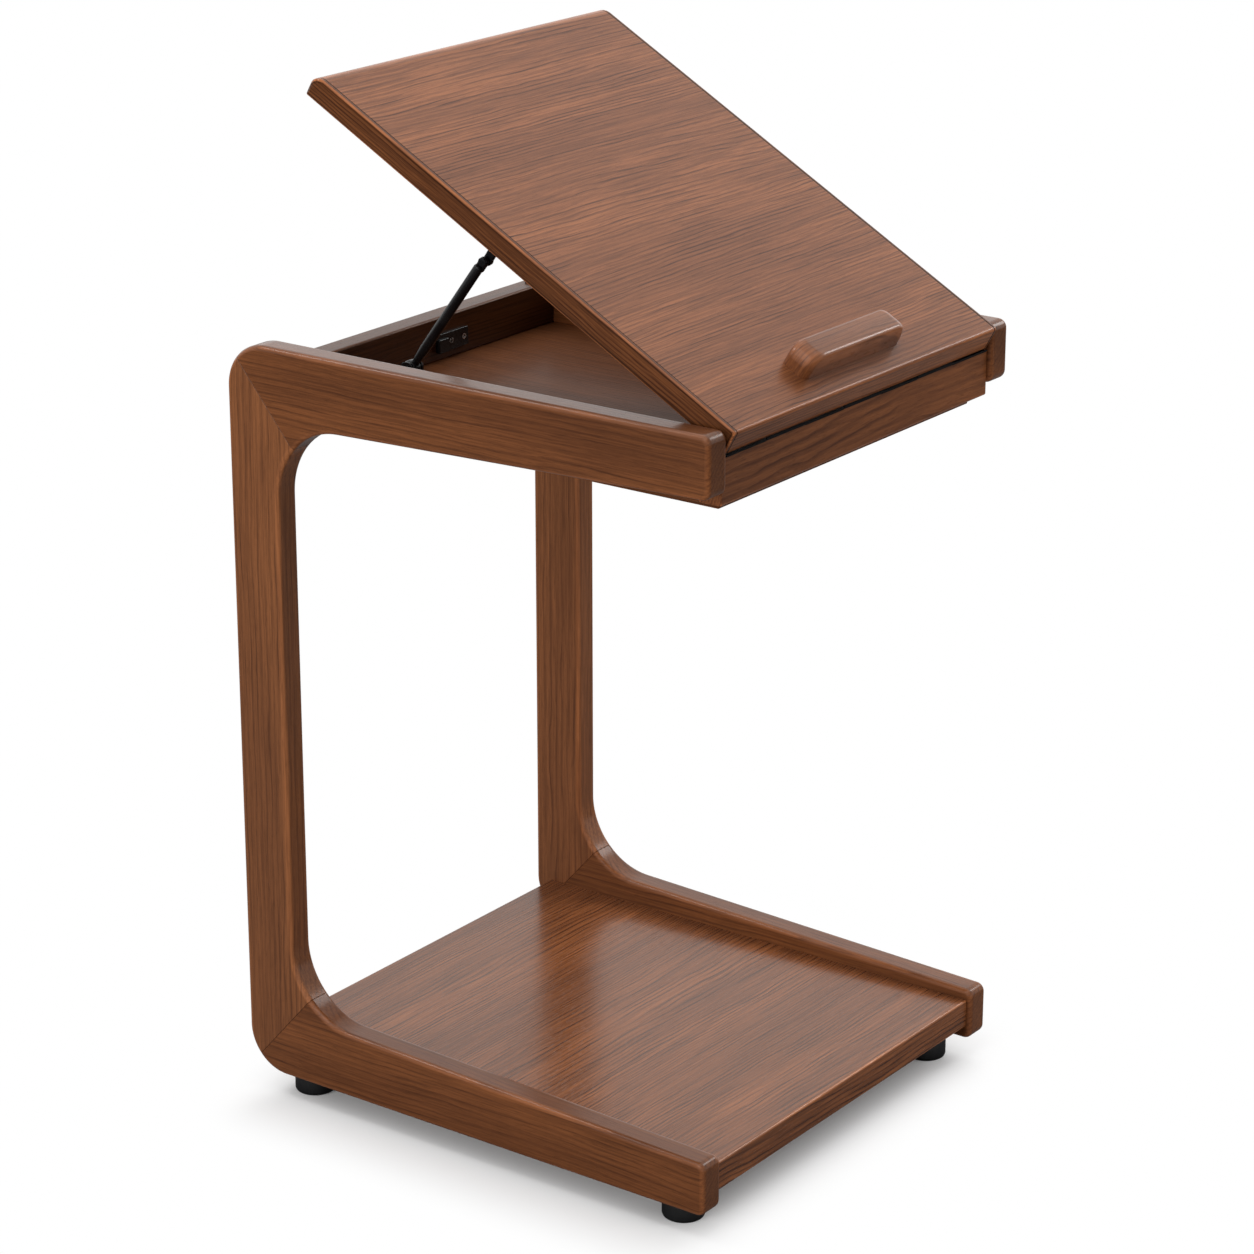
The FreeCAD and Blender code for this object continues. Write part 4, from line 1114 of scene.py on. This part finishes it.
# Floor and surroundings in metres, with their brightness to the camera, in mirrors and as a light
FLOOR_SPAN = 14.0
FLOOR_CELLS = 8
FLOOR_CLOUDS = (6.0, 6.0)
FLOOR_VARIES = 0.01
FLOOR_ROUGHNESS = 0.9
FLOOR_SEEN = 0.95
FLOOR_MIRRORED = 0.12
FLOOR_BOUNCE = 0.45
FOOTPRINT = (0.18, 0.17, 0.0)
SHADOW_REACH = (0.0, 0.1)
SHADOW_LIFT = 0.05
WORLD_LEVEL = 0.25


def floor_material():
    """Pale floor that keeps its shadow: nearly white to the camera, dimmer where it lights the table.
    Away from the table it turns into plain white, by the distance from the table's footprint."""
    material, tree, shader = shader_start("studio_floor")
    spot = node(tree, "TexCoord").outputs["Object"]
    path = node(tree, "LightPath").outputs
    seen = math_node("MAXIMUM", path["Is Camera Ray"], path["Is Transmission Ray"])
    tone = scaled(noise(spot, FLOOR_CLOUDS), FLOOR_VARIES, FLOOR_BOUNCE)
    tone = scaled(path["Is Glossy Ray"], FLOOR_MIRRORED - FLOOR_BOUNCE, tone)
    tone = scaled(seen, FLOOR_SEEN - FLOOR_BOUNCE, tone)
    grey = node(tree, "CombineColor", {0: tone, 1: tone, 2: tone}).outputs[0]
    feed(tree, shader, {"Base Color": grey, "Roughness": FLOOR_ROUGHNESS, "Specular IOR Level": 0.0})
    outside = vector_node("SUBTRACT", vector_node("ABSOLUTE", spot), FOOTPRINT)
    outside = vector_node("MAXIMUM", outside)
    away = node(tree, "VectorMath", {0: outside}, operation="LENGTH").outputs["Value"]
    open_floor = math_node("MULTIPLY", ramp(away, *SHADOW_REACH, SHADOW_LIFT, 1.0), seen)
    plain = node(tree, "Emission", {"Color": WHITE, "Strength": 1.0})
    mixed = node(tree, "MixShader", {0: open_floor, 1: shader.outputs[0], 2: plain.outputs[0]})
    tree.links.new(mixed.outputs[0], tree.nodes["Material Output"].inputs["Surface"])
    return material


def set_floor():
    """Level square grid in the floor plane."""
    side = np.linspace(-FLOOR_SPAN, FLOOR_SPAN, FLOOR_CELLS + 1)
    x, y = np.meshgrid(side, side)
    points = np.stack([x, y, 0.0 * x], -1).reshape(-1, 3)
    spot = np.arange(len(points)).reshape(x.shape)
    faces = np.stack([spot[:-1, :-1], spot[:-1, 1:], spot[1:, 1:], spot[1:, :-1]], -1).reshape(-1, 4)
    mesh = bpy.data.meshes.new("studio_floor")
    mesh.from_pydata(points.tolist(), [], faces.tolist())
    mesh.materials.append(floor_material())
    floor = new_object("studio_floor", mesh)


def set_world():
    """Even white surroundings: full white to the camera and in reflections, dimmer as a light."""
    world = bpy.data.worlds.new("white_studio")
    bpy.context.scene.world = world
    world.use_nodes = True
    tree = world.node_tree
    path = node(tree, "LightPath").outputs
    seen = math_node("MAXIMUM", path["Is Camera Ray"], path["Is Glossy Ray"])
    seen = math_node("MAXIMUM", seen, path["Is Transmission Ray"])
    level = ramp(seen, 0.0, 1.0, WORLD_LEVEL, 1.0)
    feed(tree, tree.nodes["Background"], {"Color": WHITE, "Strength": level})


# Softboxes in metres and watts: name, place, aim, side, power, and whether gloss mirrors them
MIDDLE = (0.0, 0.0, 0.3)
LOW_FRONT = (0.0, -0.2, 0.2)
SOFTBOXES = (
    ("overhead_softbox", (-0.1, 0.0, 2.7), MIDDLE, 2.4, 18.0, True),
    ("upper_left_softbox", (-2.3, -0.3, 2.9), MIDDLE, 2.2, 26.0, True),
    ("left_softbox", (-2.8, 0.3, 0.9), MIDDLE, 1.6, 42.0, False),
    ("right_softbox", (2.4, 0.6, 2.4), MIDDLE, 2.0, 66.0, False),
    ("front_softbox", (0.5, -1.0, 0.25), LOW_FRONT, 0.4, 2.2, False),
    ("right_edge_softbox", (2.0, -0.9, 1.75), MIDDLE, 0.7, 12.0, True),
    ("back_edge_softbox", (-0.8, 1.45, 2.3), MIDDLE, 0.45, 8.0, True),
)
NEARLY_Y = (0.0, 1.0, 0.05)


def softbox(name, place, aim, size, power, mirrored):
    """Square area lamp at a place, turned to an aim point."""
    data = bpy.data.lights.new(name, "AREA")
    data.shape = "SQUARE"
    data.size = size
    data.energy = power
    lamp = new_object(name, data)
    back = unit(np.subtract(place, aim))
    right = unit(np.cross(NEARLY_Y, back))
    lamp.matrix_world = pose(right, back, place)
    lamp.visible_glossy = mirrored


def build():
    """Finishes, pieces, camera, floor and light, in this order."""
    wood = wood_materials()
    metal = metal_materials()
    finish_solids(wood, metal)
    side_frame_pieces(wood)
    table_boards(wood)
    lid_panel(wood["lid"])
    book_stop(wood["stop"])
    hinge_leaves(metal["hinge"])
    for maker in (stay_arm, stay_link, floor_bracket, lid_bracket, catch):
        maker(metal["steel"])
    all_screws(metal["zinc"])
    for hand, side in SIDES:
        lid_lipping(hand, side, wood["lipping"])
        for end in ("front", "rear"):
            foot("foot_%s_%s" % (end, hand), metal["rubber"])
    set_camera()
    set_floor()
    set_world()
    for row in SOFTBOXES:
        softbox(*row)
    bpy.context.scene.view_settings.view_transform = "Standard"


build()
